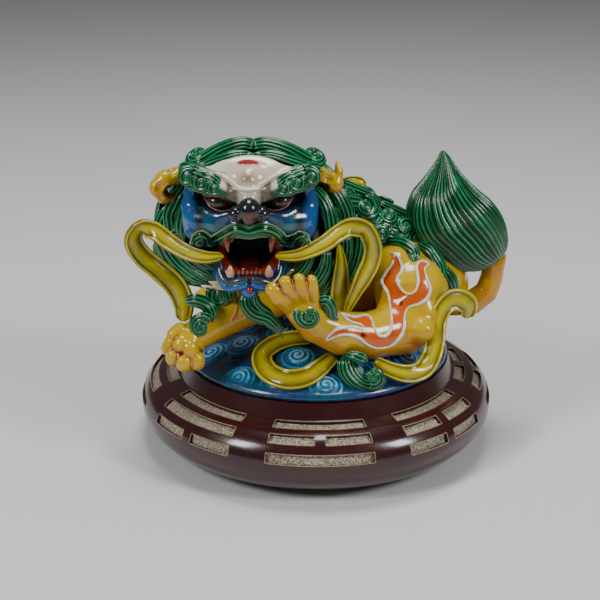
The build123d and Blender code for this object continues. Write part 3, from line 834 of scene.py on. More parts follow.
def trunk():
    verts, faces = skin(trunk_field, (-66, -58, 44), (86, 56, 101), 1.05)
    verts = settle(trunk_field, verts, rounds=1)
    tone = hollow_tone(trunk_field, verts)
    paint = shaded(trunk_field, verts, tone)
    reach = (FLAME_PLANE - EYE_POINT[1]) / (verts[:, 1] - EYE_POINT[1])
    seen = EYE_POINT + (verts - EYE_POINT) * reach[:, None]
    front = (slope(trunk_field, verts)[:, 1] < 0.25) & (verts[:, 1] < -8) & (verts[:, 0] > 0)
    marked = front & inside_outline(seen[:, 0], seen[:, 2], np.array(FLAME_OUTLINE))
    paint[marked] = FLAME
    for x, z in FLAME_NICKS:
        paint[marked & (np.hypot(seen[:, 0] - x, (seen[:, 2] - z) / 1.3) < 1.0)] = (0.02, 0.004, 0.002)
    heap = Heap(verts, faces, tone, paint)
    heap.piece("lion_trunk", SKIN, "coat_paint", "torso", "haunch", "far_haunch", "front_leg",
               "far_front_leg", "hind_leg", "far_hind_leg")


def paws():
    places = (
        ("front_paw", (-71, -56, 46), (-46, -34, 73)),
        ("hind_paw", (-26, -59, 70), (3, -40, 98)),
        ("far_front_paw", (-62, 28, 43), (-34, 54, 60)),
        ("far_hind_paw", (-6, 34, 43), (18, 55, 61)),
    )
    for i, (node, low, high) in enumerate(places):
        def field(p, i=i):
            return paw_fields(p)[i]
        verts, faces = skin(field, low, high, 0.55)
        # Stronger painted shade in the creases between the toes.
        tone = np.clip(1.7 * hollow_tone(field, verts, (0.8, 1.8, 3.5)) - 0.6, 0, 1)
        heap = Heap(verts, faces, tone, shaded(field, verts, tone + 0.1))
        heap.piece(node + "_toes", SKIN, "coat_paint", node)


def flame_lines():
    """White raised outline of the flame mark, thicker and thinner along its way."""
    loop = smooth_loop(FLAME_OUTLINE, 420)
    path = seen_at(trunk_field, loop[:, 0], loop[:, 1], lift=0.15)
    out = slope(trunk_field, path)
    pulse = 0.42 + 0.4 * np.sin(np.linspace(0, 9 * np.pi, len(path))) ** 2
    heap = Heap()
    sweep(heap, path, out, round_section(10), np.stack([pulse, pulse * 0.9], 1), 0.8)
    heap.piece("flame_outline", WHITE_LINE, "flame_paint", "flame_marks")


def chest_slit():
    """Fold of skin on the chest, outlined in pink."""
    heap = Heap()
    loop = smooth_loop([(-34.6, 77.9), (-36, 73), (-38, 69.2), (-34.2, 71.5), (-32.2, 75)], 60)
    path = seen_at(trunk_field, loop[:, 0], loop[:, 1], plane=-40, lift=0.1)
    sweep(heap, path, slope(trunk_field, path), round_section(8), (0.45, 0.45), 0.8, (0.62, 0.2, 0.14))
    heap.piece("chest_fold", SKIN, "coat_paint")


trunk()
paws()
flame_lines()
chest_slit()


# ---------------------------------------------------------------- head
NAVY, TEAL, COBALT = np.array([(0.003, 0.022, 0.06), (0.002, 0.085, 0.11), (0.005, 0.11, 0.38)])
CREAM, PALE_GREEN, RED = np.array([(0.74, 0.7, 0.55), (0.3, 0.42, 0.22), (0.52, 0.035, 0.012)])
EYES = ((-42.4, -35.0, 121.6), (-17.3, -34.2, 121.6))
FACE_MIDDLE = -29.6  # x of the plane that the face is symmetric about
MOUTH_MIDDLE = np.array([-29.8, -38.0, 99.8])
# Cheek and brow forms on the left side: how each joins, its fillet, and its stations.
CHEEK_FORMS = (
    (carve, 1.2, (-50.4, -33.4, 124, 2.2), (-51.4, -34, 116, 2.4), (-50.4, -36.4, 108, 2.2)),
    (melt, 1.2, (-54, -25, 127, 3.2), (-56, -26.4, 117, 3.4), (-55.2, -28.4, 107, 3.2),
     (-51, -32, 102.5, 2.6)),
    (melt, 3, (-50, -30, 112, 7.5), (-43, -35, 112.5, 6.2)),
    (melt, 1.6, (-48.5, -34.5, 117.5, 2.2), (-42, -38.5, 115.8, 2.6), (-37, -40, 117.4, 2.2)),
    (melt, 2.5, (-53, -27.5, 130, 4), (-45, -34, 129, 4.8), (-37, -38, 126, 4)),
)


def both_sides(points):
    """The points of the face's left side, and their reflections on its right side."""
    return points, [(2 * FACE_MIDDLE - q[0], *q[1:]) for q in points]


def head_field(p):
    head = ball(p, HEAD + (0, 1, 0), (26, 24, 26))
    head = melt(head, ball(p, (-29.5, -26, 131), (20, 13, 7.5)), 5)
    head = melt(head, ball(p, (-29.6, -33, 112.5), (13.5, 12.5, 7)), 4)
    for side in (0, 1):
        for join, fillet, *stations in CHEEK_FORMS:
            head = join(head, rod(p, *both_sides(stations)[side]), fillet)
    head = melt(head, rod(p, (-29.6, -34, 130, 6.0), (-29.6, -40.5, 124, 4.6), (-29.6, -43, 119.5, 5)), 2.2)
    for x, z, r in ((-34.6, 126.6, 1.5), (-24.8, 126.6, 1.5), (-34.2, 123.2, 1.5), (-25, 123.2, 1.5)):
        head = melt(head, rod(p, (x - 1.2, -40.8, z + 0.7, r), (x + 1.2, -40.8, z + 0.7, r)), 0.8)
    jaw = rod(p, (-43.5, -26, 93, 6), (-40, -36, 89.5, 5), (-30, -40, 87.5, 5.4), (-20, -36, 89.5, 5),
              (-16, -26, 93, 6))
    jaw = melt(jaw, ball(p, (-30, -28, 90), (13, 12, 6)), 4)
    jaw = melt(jaw, ball(p, (-29.6, -44.6, 84.8), (3.8, 3.2, 4.0)), 2.2)
    head = melt(head, jaw, 3)
    head = melt(head, rod(p, (-29, -10, 95, 21), (-28, -6, 88, 19)), 5)
    for (socket,) in both_sides([(-42.4, -37.2, 121.4)]):
        head = carve(head, ball(p, socket, (6.2, 4.4, 3.7)), 1.4)
    hole = np.maximum(ball(p, MOUTH_MIDDLE, (12.6, 17, 7.6)), -0.6 * (p[..., 1] + 60))
    return carve(head, hole, 1.2)


def head_paint(verts, tone):
    """Face colours by place: cobalt rims, teal and navy cheeks, cream forehead, red mouth; painted highlight
    on open ridges and the cheek rims, painted shade in the cheek grooves, beside the nose bridge, round the
    eyes and deep in the mouth.
    """
    x, y, z = verts.T
    side = np.abs(x - FACE_MIDDLE)
    hole = ball(verts, MOUTH_MIDDLE, (14.3, 18.8, 9.2))
    cheeks = (
        (0.75 - np.hypot(side - 14, z - 112) / 13, TEAL),
        # Painted highlight: teal on the open ridges.
        ((tone - 0.6) * 0.9, TEAL),
        # Cobalt on the outer cheek rims: their own paint, brightened as painted highlight.
        (1.3 - np.hypot((side - 26.6) / 4, (z - 113) / 14), COBALT),
        # Painted shade in the groove inside each cheek rim.
        (1.3 - np.hypot((side - 21.4) / 1.7, (z - 114) / 10), NAVY * 0.4),
        (1.1 - np.hypot((side - 17) / 3, (z - 112) / 6), TEAL * 1.5),
        (1.1 - np.hypot((side - 12) / 8, (z - 116) / 3), COBALT * 0.5),
        (np.clip((96 - z) / 3, 0, 1) * (y < -22) * np.clip(1.3 - side / 18, 0.2, 1), COBALT),
    )
    brow = (
        ((z - 127 - np.clip(side - 14, 0, 30) * 0.2) / 1.5, CREAM),
        # Painted shade in dark brown beside the nose bridge.
        (np.minimum(10 - side, (z - 120.5) / 1.5) * (y < -33), (0.16, 0.12, 0.09)),
        (np.minimum(5.2 - side, (z - 121) / 1.5) * (y < -34), CREAM * 0.8),
        # Painted shade round the eyes, under the brows.
        (1.3 - np.hypot((side - 12.8) / 9.5, (z - 122.2) / 5), (0.02, 0.008, 0.006)),
    )
    mouth = (
        ((0.6 - hole) * 1.2 * (y < -16), (0.34, 0.07, 0.012)),
        ((103 - z) / 4 * (hole < 0.8), RED * 0.6),
        # Painted shade: near black deep inside the mouth and towards its back.
        (0.9 - ball(verts, MOUTH_MIDDLE + (0, 6, -1.8), (10.2, 15, 6.2)), (0.003, 0.001, 0.001)),
        ((y + 30) / 6 * (hole < 0.8), (0.004, 0.002, 0.002)),
    )
    under_hair = (np.maximum((y + 8) / 4, np.minimum((y + 27) / 3, (z - 128) / 3)), (0.002, 0.05, 0.024))
    paint = np.tile(NAVY, (len(verts), 1))
    for share, colour in (*cheeks, *brow, *mouth, under_hair):
        paint = washed(paint, share, colour)
    return paint


def head():
    verts, faces = skin(head_field, (-62, -52, 74), (3, 18, 142), 0.85)
    tone = hollow_tone(head_field, verts, (0.9, 2.2, 5.0))
    heap = Heap(verts, faces, tone, head_paint(verts, tone))
    heap.piece("lion_head", SKIN, "face_paint", "skull", "lower_jaw", "mouth_lining")


# Upper lid, lower lid and outer fold of the left eye: paint, and (x, y, z, radius) from the eye's middle.
EYE_FOLDS = (
    ((0.3, 0.1, 0.06), (-6.6, 0.8, 1.6, 0.15), (-3.6, -2.6, 2.9, 0.3), (0.4, -3.9, 2.9, 0.33),
     (3.9, -3.6, 1.2, 0.3), (6, -2, -1.4, 0.15)),
    ((0.26, 0.1, 0.07), (-6.6, 0.8, 1.6, 0.16), (-3.6, -2.6, -1.6, 0.32), (0.4, -3.9, -3.1, 0.352),
     (3.9, -3.6, -2.8, 0.32), (6, -2, -1.4, 0.16)),
    ((0.12, 0.05, 0.03), (-7.2, 0, 2.6, 0.5), (-3.6, -3.4, 4.6, 1), (1.2, -4.6, 4.4, 1.2),
     (6.4, -4.4, 1, 0.7)),
)


def eyes():
    """Dark almond eyes with painted rims and thin lids."""
    balls, lids = Heap(), Heap()
    rings, spokes = 25, 36
    lat, lon = np.meshgrid(
        np.linspace(0, np.pi, rings), np.linspace(0, 2 * np.pi, spokes, endpoint=False), indexing="ij"
    )
    unit = np.stack([np.sin(lat) * np.cos(lon), -np.cos(lat), np.sin(lat) * np.sin(lon)], -1)
    ring = lat.ravel()
    for eye, flip in zip(np.array(EYES), (1, -1)):
        verts = eye + unit.reshape(-1, 3) * (5.4, 3.9, 3.5)
        shade = np.full((len(verts), 3), 0.1) * (1, 0.35, 0.2)
        shade[ring < 0.95] = (0.05, 0.02, 0.012)
        shade[ring < 0.72] = (0.006, 0.006, 0.008)
        shade[np.abs(ring - 0.5) < 0.07] = (0.1, 0.05, 0.03)
        balls.add(verts, [grid_faces(rings, spokes)[:, ::-1]], 0.75, shade)
        for colour, *fold in EYE_FOLDS:
            route = [(*(eye + (x * flip, y, z)), radius) for x, y, z, radius in fold]
            tube(lids, route, count=30, paint=colour, k=8)
    balls.piece("eye_balls", MOUTH, "face_paint", "eyeballs")
    lids.piece("eye_lids", SKIN, "face_paint")


def nose_field(p):
    top = ball(p, (-29.5, -46, 120.8), (4.8, 5.6, 5.4))
    for (wing,) in both_sides([(-35, -45.2, 119)]):
        top = melt(top, ball(p, wing, (3.6, 4.2, 3.5)), 0.8)
    top = melt(top, ball(p, (-29.5, -47, 117), (2.6, 3.4, 2.8)), 0.9)
    for (nostril,) in both_sides([(-34.8, -49.6, 118)]):
        top = carve(top, ball(p, nostril, (1.2, 1.6, 1.3)), 0.7)
    return top


def nose():
    """Black nose with a dull red spot between the nostrils."""
    verts, faces = skin(nose_field, (-40, -54, 112), (-19, -38, 128), 0.45)
    tone = hollow_tone(nose_field, verts, (0.6, 1.4, 2.8))
    x, y, z = verts.T
    spot = (1.3 - np.hypot((x + 29.5) / 2.0, (z - 119) / 2.4)) * (y < -48)
    paint = washed(np.tile([0.009, 0.01, 0.014], (len(verts), 1)), spot, (0.16, 0.008, 0.01))
    heap = Heap(verts, faces, tone, paint)
    heap.piece("nose_leather", SKIN, "nose_paint", "nose")


LIP_LINE = [(-53.2, 105, 1.2), (-51.8, 108, 1.7), (-49.2, 109.2, 1.9), (-45.4, 107, 1.9), (-40, 109.4, 2.2),
            (-34.4, 111.2, 2.5), (-29.6, 110.2, 2.0), (-24.6, 111.4, 2.5), (-19, 110.4, 2.2),
            (-14.6, 107, 1.9), (-10.4, 107.8, 1.9), (-7.4, 109, 1.8), (-4.8, 105.6, 1.2)]


def upper_lip():
    """Green moustache with a pale rolled edge; it waves up at both corners of the mouth."""
    line = smooth_path([(x, 0, z, w) for x, z, w in LIP_LINE], 110)
    turn = np.gradient(line[:, [0, 2]], axis=0)
    across = np.stack([-turn[:, 1], turn[:, 0]], 1) / np.linalg.norm(turn, axis=1, keepdims=True)

    def follow(offset, lift):
        x, z = (line[:, [0, 2]] + across * line[:, 3:] * offset).T
        on = seen_at(head_field, x, z, plane=-42, lift=lift)
        padded = np.pad(on[:, 1], 6, mode="edge")
        on[:, 1] = np.minimum(on[:, 1], np.convolve(padded, np.full(13, 1 / 13), "valid"))
        return on

    hair, edge = Heap(), Heap()
    middle = follow(0, 0.9)
    lock(hair, np.hstack([middle, line[:, 3:]])[::4], (0, -1, 0.2), strands=3, thick=0.8, count=110)
    for offset, radius in ((-1.0, 0.7), (1.0, 0.45)):
        rim = follow(offset, 0.7 if offset < 0 else 0.5)
        tube(edge, np.hstack([rim, np.full((110, 1), radius)])[::3], count=110, paint=PALE_GREEN * 0.7, k=8)
    hair.piece("moustache", HAIR, "lip_paint", "upper_lip")
    edge.piece("lip_edge", SKIN, "lip_paint")


def jaw_lip():
    """Grey-blue rolled lip of the lower jaw, lifted in the middle, with the blue edge under it."""
    half = [(-30, -46.4, 90.6, 1.7), (-34.6, -45.9, 89.4, 1.7), (-38.8, -44.2, 88.2, 1.7),
            (-41.6, -41.4, 90.4, 1.6), (-42.6, -38.6, 94.6, 1.4), (-43.2, -36.4, 98.6, 1.1)]
    heap = Heap()
    for side in both_sides(half):
        tube(heap, side, count=50, paint=(0.024, 0.055, 0.08))
        low = [(x, y + 0.4, z - 2.3, r * 1.15) for x, y, z, r in side[:5]]
        tube(heap, low, count=40, paint=COBALT)
    heap.piece("jaw_rim", SKIN, "face_paint")


def tooth(heap, root, tip, radius, paint):
    bend = (np.array(root) + np.array(tip)) / 2 + (0, -0.5, 0)
    stations = [(*root, radius), (*bend, radius * 0.82), (*tip, radius * 0.22)]
    tube(heap, stations, count=18, tone=0.85, paint=paint)


def teeth():
    """Two fangs above, two below, and six small incisors between the lower ones."""
    upper, lower = Heap(), Heap()
    for root, tip in both_sides([(-39.2, -42, 108.6), (-38.6, -42.6, 101)]):
        tooth(upper, root, tip, 1.45, (0.2, 0.045, 0.014))
    for root, tip in both_sides([(-37.8, -43.2, 90.8), (-37.8, -44.0, 96.2)]):
        tooth(lower, root, tip, 1.95, (0.66, 0.36, 0.26))
    for i in range(6):
        x = -34.2 + 1.8 * i
        tooth(lower, (x, -43.6, 91.6), (x, -44.0, 93.8), 0.72, (0.18, 0.12, 0.08))
    upper.piece("upper_teeth", MOUTH, "tooth_paint", "upper_fangs")
    lower.piece("lower_teeth_set", MOUTH, "tooth_paint", "lower_teeth")


def tongue():
    heap = Heap()
    # The tongue is the mouth's red darkened to a fifth, as painted shade deep in the mouth.
    tube(heap, [(-29.6, -24, 92, 5.4), (-29.6, -31, 92, 5.8), (-29.6, -37, 92, 5), (-29.6, -39.5, 91.6, 3)],
         out=(0, 0, 1), flat=0.36, tone=0.6, paint=RED * 0.2)
    heap.piece("tongue_flesh", MOUTH, "mouth_paint", "tongue")


def chin_bead():
    def field(p):
        return ball(p, (-29.5, -47.6, 86.2), 1.75)
    heap = Heap(*skin(field, (-32.5, -50.5, 83), (-26.5, -44.5, 89.5), 0.3))
    red = enamel("red_bead", (0.22, 0.006, 0.016), (0.12, 0.003, 0.01))
    heap.piece("chin_bead", red, "bead_paint", "chin_pearl")


PLATE_OUTLINE = [(-51.5, 133.8), (-45, 137), (-38.3, 139.3), (-29.9, 140.5), (-21, 139.3), (-14.9, 136.4),
                 (-9.6, 134.4), (-17.6, 131.4), (-22.4, 128.6), (-25.8, 125.6), (-30.3, 124.8), (-35, 126),
                 (-39, 129.6), (-44, 132.4)]


def forehead():
    """Cream plate with a rolled rim, a raised boss and a red crescent at its top."""
    rings, spokes = 26, 120
    rim = smooth_loop(PLATE_OUTLINE, spokes)
    middle = np.array([-30.2, 132.6])
    shares = np.linspace(0, 1, rings) ** 0.8  # distance from the middle to the rim
    flat = middle + (rim[None] - middle) * shares[:, None, None]
    x, z = flat[..., 0].ravel(), flat[..., 1].ravel()
    on = seen_at(head_field, x, z, plane=-34)
    out = slope(head_field, on)
    edge = np.repeat(shares, spokes)
    boss = np.exp(-((x + 30.2) ** 2 + (z - 130.6) ** 2) / 11)
    lift = 0.9 + 0.8 * np.exp(-((edge - 0.88) / 0.09) ** 2) + 1.6 * boss
    lift -= 1.6 * np.clip(edge - 0.95, 0, 1) / 0.05
    crescent = (1.25 - np.hypot((x + 30) / 3.9, (z - 137.2) / 1.25)) * 4
    dabs = (
        (1.1 * np.exp(-((x + 30.2) ** 2 + (z - 131.2) ** 2) / 6), (0.3, 0.12, 0.07)),
        (0.5 * np.exp(-((x + 30) ** 2 / 60 + (z - 133) ** 2 / 8)), (0.62, 0.5, 0.38)),
        (np.where(z > 136.6, crescent, 0), (0.4, 0.02, 0.03)),
    )
    paint = np.tile(CREAM, (len(x), 1))
    for share, colour in dabs:
        paint = washed(paint, share, colour)
    # Tone paints a highlight along the rolled rim.
    tone = 0.55 + 0.4 * np.exp(-((edge - 0.88) / 0.1) ** 2)
    heap = Heap(on + out * lift[:, None], [grid_faces(rings, spokes)], tone, paint)
    heap.piece("forehead_plate", SKIN, "forehead_paint", "forehead")


def left_ear(p):
    ear = rod(p, (-56, -13, 127.5, 3.8), (-61.5, -17, 128, 4), (-66.4, -20, 126.8, 4.5),
              (-69.2, -21, 123.6, 4.2), (-67.6, -21, 120, 3))
    ear = melt(ear, rod(p, (-67, -20, 119, 2.2), (-62, -17, 118.8, 1.8), (-58.4, -14, 121.5, 2.2)), 2)
    ear = carve(ear, ball(p, (-63, -22.6, 122.6), (3.8, 5, 2.8)), 1)
    ear = carve(ear, rod(p, (-63.6, -25, 132.4, 1.4), (-63.6, -18, 131.6, 1.4)), 1)
    return carve(ear, ball(p, (-68.4, -26, 125), (2.4, 2.4, 3)), 0.7)


def right_ear(p):
    ear = rod(p, (-5.5, -12, 128.6, 3.8), (-1, -14.6, 128.4, 4.2), (3.4, -16.6, 125.6, 4.6),
              (7, -17, 123.8, 3.8))
    ear = melt(ear, rod(p, (8, -16.6, 125.6, 2.8), (9, -16, 129.4, 2), (8, -15.6, 133.8, 0.7)), 1.4)
    ear = melt(ear, rod(p, (4, -15, 121, 1.6), (-1, -14.4, 121.4, 1.8)), 2.2)
    ear = carve(ear, ball(p, (0, -20.4, 123.4), (4.8, 4, 2.4)), 1)
    return carve(ear, ball(p, (4.4, -22, 127.8), (3.2, 3.4, 2.8)), 0.8)


def ears():
    """Ears folded forward: a rounded lobe, a notch at the top and a dark hollow underneath."""
    heap = Heap()
    for field, low, high, pit in ((left_ear, (-76, -29, 116), (-54, -8, 136), (-62.4, -20, 122)),
                                  (right_ear, (-9, -26, 118), (13, -7, 136), (0.6, -18, 123))):
        verts, faces = skin(field, low, high, 0.55)
        tone = hollow_tone(field, verts, (0.8, 1.8, 3.5))
        # Dark rust in the hollow under each ear: the ear's brown inside, deepened with painted shade.
        dark = 1.4 - np.linalg.norm((verts - pit) / (4.6, 4.5, 3.4), axis=1) * 0.9
        heap.add(verts, faces, tone, washed(shaded(field, verts, tone), dark, RUST * 0.5))
    heap.piece("ears", SKIN, "coat_paint", "ear_left", "ear_right")


head()
eyes()
nose()
upper_lip()
jaw_lip()
teeth()
tongue()
chin_bead()
forehead()
ears()


# ---------------------------------------------------------------- hair on the head and back
def mane_field(p):
    mane = melt(ball(p, (-27, 0, 108), (32, 25, 25)), ball(p, (-28, -6, 119), (30, 21, 16)), 3)
    mane = melt(mane, rod(p, (-51, -22, 130, 3.6), (-44, -20, 134.4, 4.4), (-36, -18.5, 136.6, 4.8),
                          (-28, -18, 135.4, 4.6), (-20, -18.5, 136.6, 4.8), (-11.6, -20, 134.4, 4.4),
                          (-4.6, -22, 130, 3.6)), 4)
    mane = melt(mane, ball(p, (-52, -7, 104), (15, 16, 24)), 4)
    mane = melt(mane, ball(p, (-2, -5, 102), (14, 16, 25)), 4)
    mane = melt(mane, ball(p, (-26, 16, 100), (29, 20, 25)), 5)
    return melt(mane, rod(p, (4, 8, 99, 18), (18, 8, 96, 15.5), (32, 8, 92, 12), (46, 8, 89, 7)), 5)


def right_side(points):
    """The left side's hair carried to the slightly wider right side."""
    return [(-28 + (-28 - q[0]) * 1.08, *q[1:]) for q in points]


# Locks of hair: number of strands, then hand of the curl at the end (0 for none) or thickness where they
# differ, and (x, y, z, half width) points.
CROWN_LOCKS = (
    (6, 1, [(-26, -20, 141.5, 3.4), (-33, -20.5, 142.8, 4), (-42, -22, 140.4, 4), (-50, -23.5, 135.8, 4.4)]),
    (5, 0, [(-27, -26, 139.6, 1.8), (-35, -27.5, 139.8, 2.6), (-43, -28.5, 137.6, 3), (-50, -28.5, 134.8, 3),
            (-56, -27, 132, 1.6)]),
)
TOP_LOCKS = (
    [(-26, -15, 141, 4), (-35, -14, 140, 5.2), (-46, -13.6, 136.6, 5.4), (-54, -14, 131, 5),
     (-59, -15, 124, 3.2)],
    [(-26, -8, 140, 4), (-36, -7, 138, 5.4), (-46, -6, 132, 5.6), (-55, -6, 124, 5.4), (-61, -6, 114, 4.6)],
    [(-26, 0, 140, 5), (-37, 2, 136, 5.8), (-48, 3, 129, 6), (-56, 2, 119, 5.6), (-62, 0, 108, 5)],
)
BROW_LOCKS = (
    (8, 0.9, [(-58, -25, 132, 3.4), (-51, -31.5, 131, 4.6), (-44.6, -36.4, 130, 4.2),
              (-39, -39.6, 127, 2.4)]),
    (7, 0.85, [(-59.4, -25.5, 131, 2), (-55, -31, 129.4, 3.2), (-49, -36, 128.4, 3.2),
               (-43.4, -39.4, 127.6, 3), (-38.4, -42, 125.6, 1.2)]),
    (6, 0.85, [(-60, -24, 132.4, 2), (-56, -28.4, 134, 3.2), (-50, -32.6, 133, 3.4), (-44, -36, 131, 3),
               (-38.4, -39.6, 127.6, 1.2)]),
)
# Snail curls: the middle of each, its radius and the angle where its outer end lies.
BROW_SNAILS = ((-55.2, -32.8, 131.2, 6.2, 1.0), (-48.8, -38.0, 130, 5.6, 2.4), (-43.2, -41.2, 128.4, 4.8, 2.0))
LEFT_LOCKS = (
    (5, -1, [(-57, -16, 125, 2.4), (-61.5, -17, 118, 3.6), (-64.5, -18, 111, 4), (-64, -20, 105, 3.6)]),
    (4, 0, [(-55.5, -22, 123, 1.8), (-58, -24, 115, 2.8), (-59.5, -25, 107, 3), (-58.6, -26, 99.6, 2)]),
    (6, 0, [(-64, -8, 115, 3), (-69, -9, 106, 4), (-69.6, -10, 97, 4.4), (-66, -13, 88.5, 4.2),
            (-59, -18, 81.5, 3.6), (-51, -23, 78.5, 2)]),
    (6, 0, [(-66.5, -16, 103, 2.2), (-66, -18, 95.5, 3.6), (-61, -21, 89, 4), (-54, -25.5, 84.5, 3.6),
            (-46.5, -30, 82, 2)]),
    (6, 0, [(-63, -22, 101, 1.8), (-60, -24.5, 95, 3.2), (-54.5, -28, 90.4, 3.4), (-48, -32, 87.6, 3),
            (-42, -35.6, 86, 1.4)]),
    (4, 0, [(-59, -26, 99, 1.4), (-54, -29, 95.2, 2.6), (-49, -32, 92.4, 2.6), (-44, -35, 91, 1.2)]),
    (6, 1, [(-62, -3, 121, 3), (-68, -2, 111, 4.4), (-69.5, -1, 100, 5), (-67, -2, 91, 4.6)]),
)
RIGHT_LOCKS = (
    (5, 0, [(-3, -20, 125, 2), (2.5, -22.5, 118, 3.2), (5, -24.5, 110, 3.6), (5, -25.5, 102, 3.2),
            (2, -27, 94, 2)]),
    (6, 1, [(2, -15, 127, 2.4), (8.5, -16.5, 120, 3.6), (12.4, -17.5, 112, 4), (12, -19, 105.6, 3.8)]),
    (5, 0, [(-2.5, -26, 99.5, 1.4), (-4.5, -29, 93, 2.8), (-9, -31.5, 87.4, 3), (-15.5, -34.5, 85, 1.4)]),
    (6, 0, [(3.5, -24, 98, 2.2), (3, -26.5, 90, 3.6), (-1.5, -29.5, 83, 3.6), (-8.5, -33, 79, 1.8)]),
    (6, 0, [(11.5, -16, 104, 2.8), (12, -18.5, 95, 4.2), (9, -22, 86, 4.4), (4, -26, 79, 3.6),
            (0, -30, 73.5, 1.8)]),
    (6, 0, [(17, -11, 106, 2.8), (20.4, -12.5, 97, 4.2), (18.6, -15.5, 87, 4.4), (14.4, -19.5, 78.5, 3.6),
            (12, -23, 71.5, 1.6)]),
)
BACK_LOCKS = (
    (6, 1, [(0, -12, 118, 3), (9, -10.5, 115.4, 4.2), (18, -8, 111.6, 4.4), (25.5, -6, 107.4, 4.2)]),
    (6, -1, [(5, -17, 112, 2.6), (13, -15.5, 108, 4), (21.5, -13, 103.6, 4.2), (28.5, -10.5, 101, 4)]),
    (5, 0, [(10, -19, 105, 2.4), (17.5, -17.5, 101.5, 3.8), (26, -14, 98, 3.8), (34, -11.5, 95.6, 2)]),
    (6, 1, [(24, -7, 107, 3), (31, -5.5, 104.4, 4), (37.5, -4, 100.4, 4)]),
    (5, 0, [(27, -10, 101, 2.4), (34, -8.5, 98.4, 3.6), (41, -6.5, 95, 3.4), (48, -4, 91, 1.6)]),
)
RIDGE_LOCKS = (
    (7, [(-6, 6, 126, 4), (3, 7, 120, 5.4), (12, 8, 115, 5.6), (23, 8, 110, 5), (33, 8, 105, 3)]),
    (6, [(26, 8, 108, 3), (35, 8, 103.4, 4.4), (44, 8, 98, 4), (52, 8, 92, 1.8)]),
)
BACK_SNAILS = ((11, -13, 115.4, 7), (20, -12, 110, 7.4), (30, -9, 106, 6.4), (27, -13.4, 100.4, 6.4),
               (37.4, -8.6, 101, 6), (13.4, -18, 107, 6.4), (4.6, -19, 111.4, 6), (43, -7, 96, 5))


def on_back(points, lift):
    """Points placed where they are seen on the back, and their likes on its far side."""
    x, y, z = np.array(points, float)[:, :3].T
    near = seen_at(mane_field, x, z, plane=y, lift=lift)
    far = settle(mane_field, near * (1, -1, 1) + (0, 16, 0), lift)
    rest = np.array(points, float)[:, 3:]
    return np.hstack([near, rest]), np.hstack([far, rest])


def mane_core():
    """Plain body of the mane, which shows only between the locks."""
    heap = Heap(*skin(mane_field, (-74, -30, 62), (58, 40, 146), 1.9))
    heap.piece("mane_core", HAIR, "hair_paint")


def crown_hair():
    """Locks that roll outwards from the parting, and the long ones behind them."""
    crown = Heap()
    for strands, hand, points in CROWN_LOCKS:
        lock(crown, points, (0, -0.35, 1), strands, 0.7, hand)
        lock(crown, right_side(points), (0, -0.35, 1), strands, 0.7, -hand)
    for points in TOP_LOCKS:
        for route in (points, right_side(points)):
            lay_lock(crown, mane_field, route, 0.5, strands=7, thick=0.7)
    crown.piece("crown_hair", HAIR, "hair_paint", "crown_left", "crown_right")


def brow_hair():
    """Bushy brows: a thick lock, two more over it and three snail curls each."""
    brows = Heap()
    for strands, thick, points in BROW_LOCKS:
        for side in both_sides(points):
            lock(brows, side, (0, -1, 0.35), strands, thick)
    for *spot, radius, start in BROW_SNAILS:
        for (centre,), flip in zip(both_sides([spot]), (1, -1)):
            turned = start if flip == 1 else np.pi - start
            snail(brows, centre, (-0.35 * flip, -1, 0.3), radius, flip, turned, thick=0.4)
    brows.piece("brow_hair", HAIR, "hair_paint", "brow_left", "brow_right")


def side_hair():
    """Hair that falls beside the face."""
    sides = Heap()
    for lean, locks in ((-0.75, LEFT_LOCKS), (0.75, RIGHT_LOCKS)):
        for strands, hand, points in locks:
            lock(sides, points, (lean, -1, 0.1), strands, 0.7, hand)
    sides.piece("side_hair", HAIR, "hair_paint", "mane_left", "mane_right")


def back_hair():
    """Locks and snail curls over the shoulders, and the ridge along the back."""
    back = Heap()
    for strands, hand, points in BACK_LOCKS:
        for route, turn in zip(on_back(points, 0.9), (hand, -hand)):
            lock(back, route, slope(mane_field, smooth_path(route, 28)[:, :3]), strands, 0.7, turn)
    for strands, points in RIDGE_LOCKS:
        lay_lock(back, mane_field, points, 0.9, strands=strands, thick=0.7)
    for i, spot in enumerate(BACK_SNAILS):
        hand = 1 - 2 * (i % 2)
        for (route,), turn in zip(on_back([spot], 2.2), (hand, -hand)):
            facing = slope(mane_field, route[None, :3])[0]
            snail(back, route[:3], facing, route[3] * 1.2, turn, 1.4 * i, 4, 0.45)
    back.piece("back_hair", HAIR, "hair_paint", "mane_back")


# Tiers of locks round the back of the head: their top and low end, how far they are shifted round, and how
# far from the head's axis they start and end.
NAPE_TIERS = ((141, 112, 0, 1, 30), (124, 94, 0.5, 27, 33), (104, 76, 0, 33, 34))
TIER_LOCKS = 15


def nape_hair():
    """Three tiers of locks round the back of the head, each with a curl at its end."""
    nape = Heap()
    for top, low, shift, inner, outer in NAPE_TIERS:
        for i in range(TIER_LOCKS):
            angle = np.radians(-14 + (208 * (i + shift)) / (TIER_LOCKS - 1 + 2 * shift))
            points = []
            for t, width in zip(np.linspace(0, 1, 5), (2.4, 5, 6, 5.8, 5)):
                turn = angle + 0.16 * np.sin(t * 3.2)
                reach = inner + (outer - inner) * t**0.7
                x, y = -27 + reach * 1.2 * np.cos(turn), 5 + reach * np.sin(turn)
                points.append((x, y, top + (low - top) * t**1.2, width))
            if points[-1][0] > 14 and points[-1][1] < 22:
                continue  # the shoulder's own locks are here
            hand = 1 if i % 2 else -1
            lay_lock(nape, mane_field, points, 0.2, strands=6, thick=0.6, hand=hand, turns=1.3, count=20)
    nape.piece("nape_hair", HAIR, "hair_paint", "mane_collar")


def body_field(p):
    return np.minimum.reduce([trunk_field(p), mound_field(p), head_field(p), *paw_fields(p)[:2]])


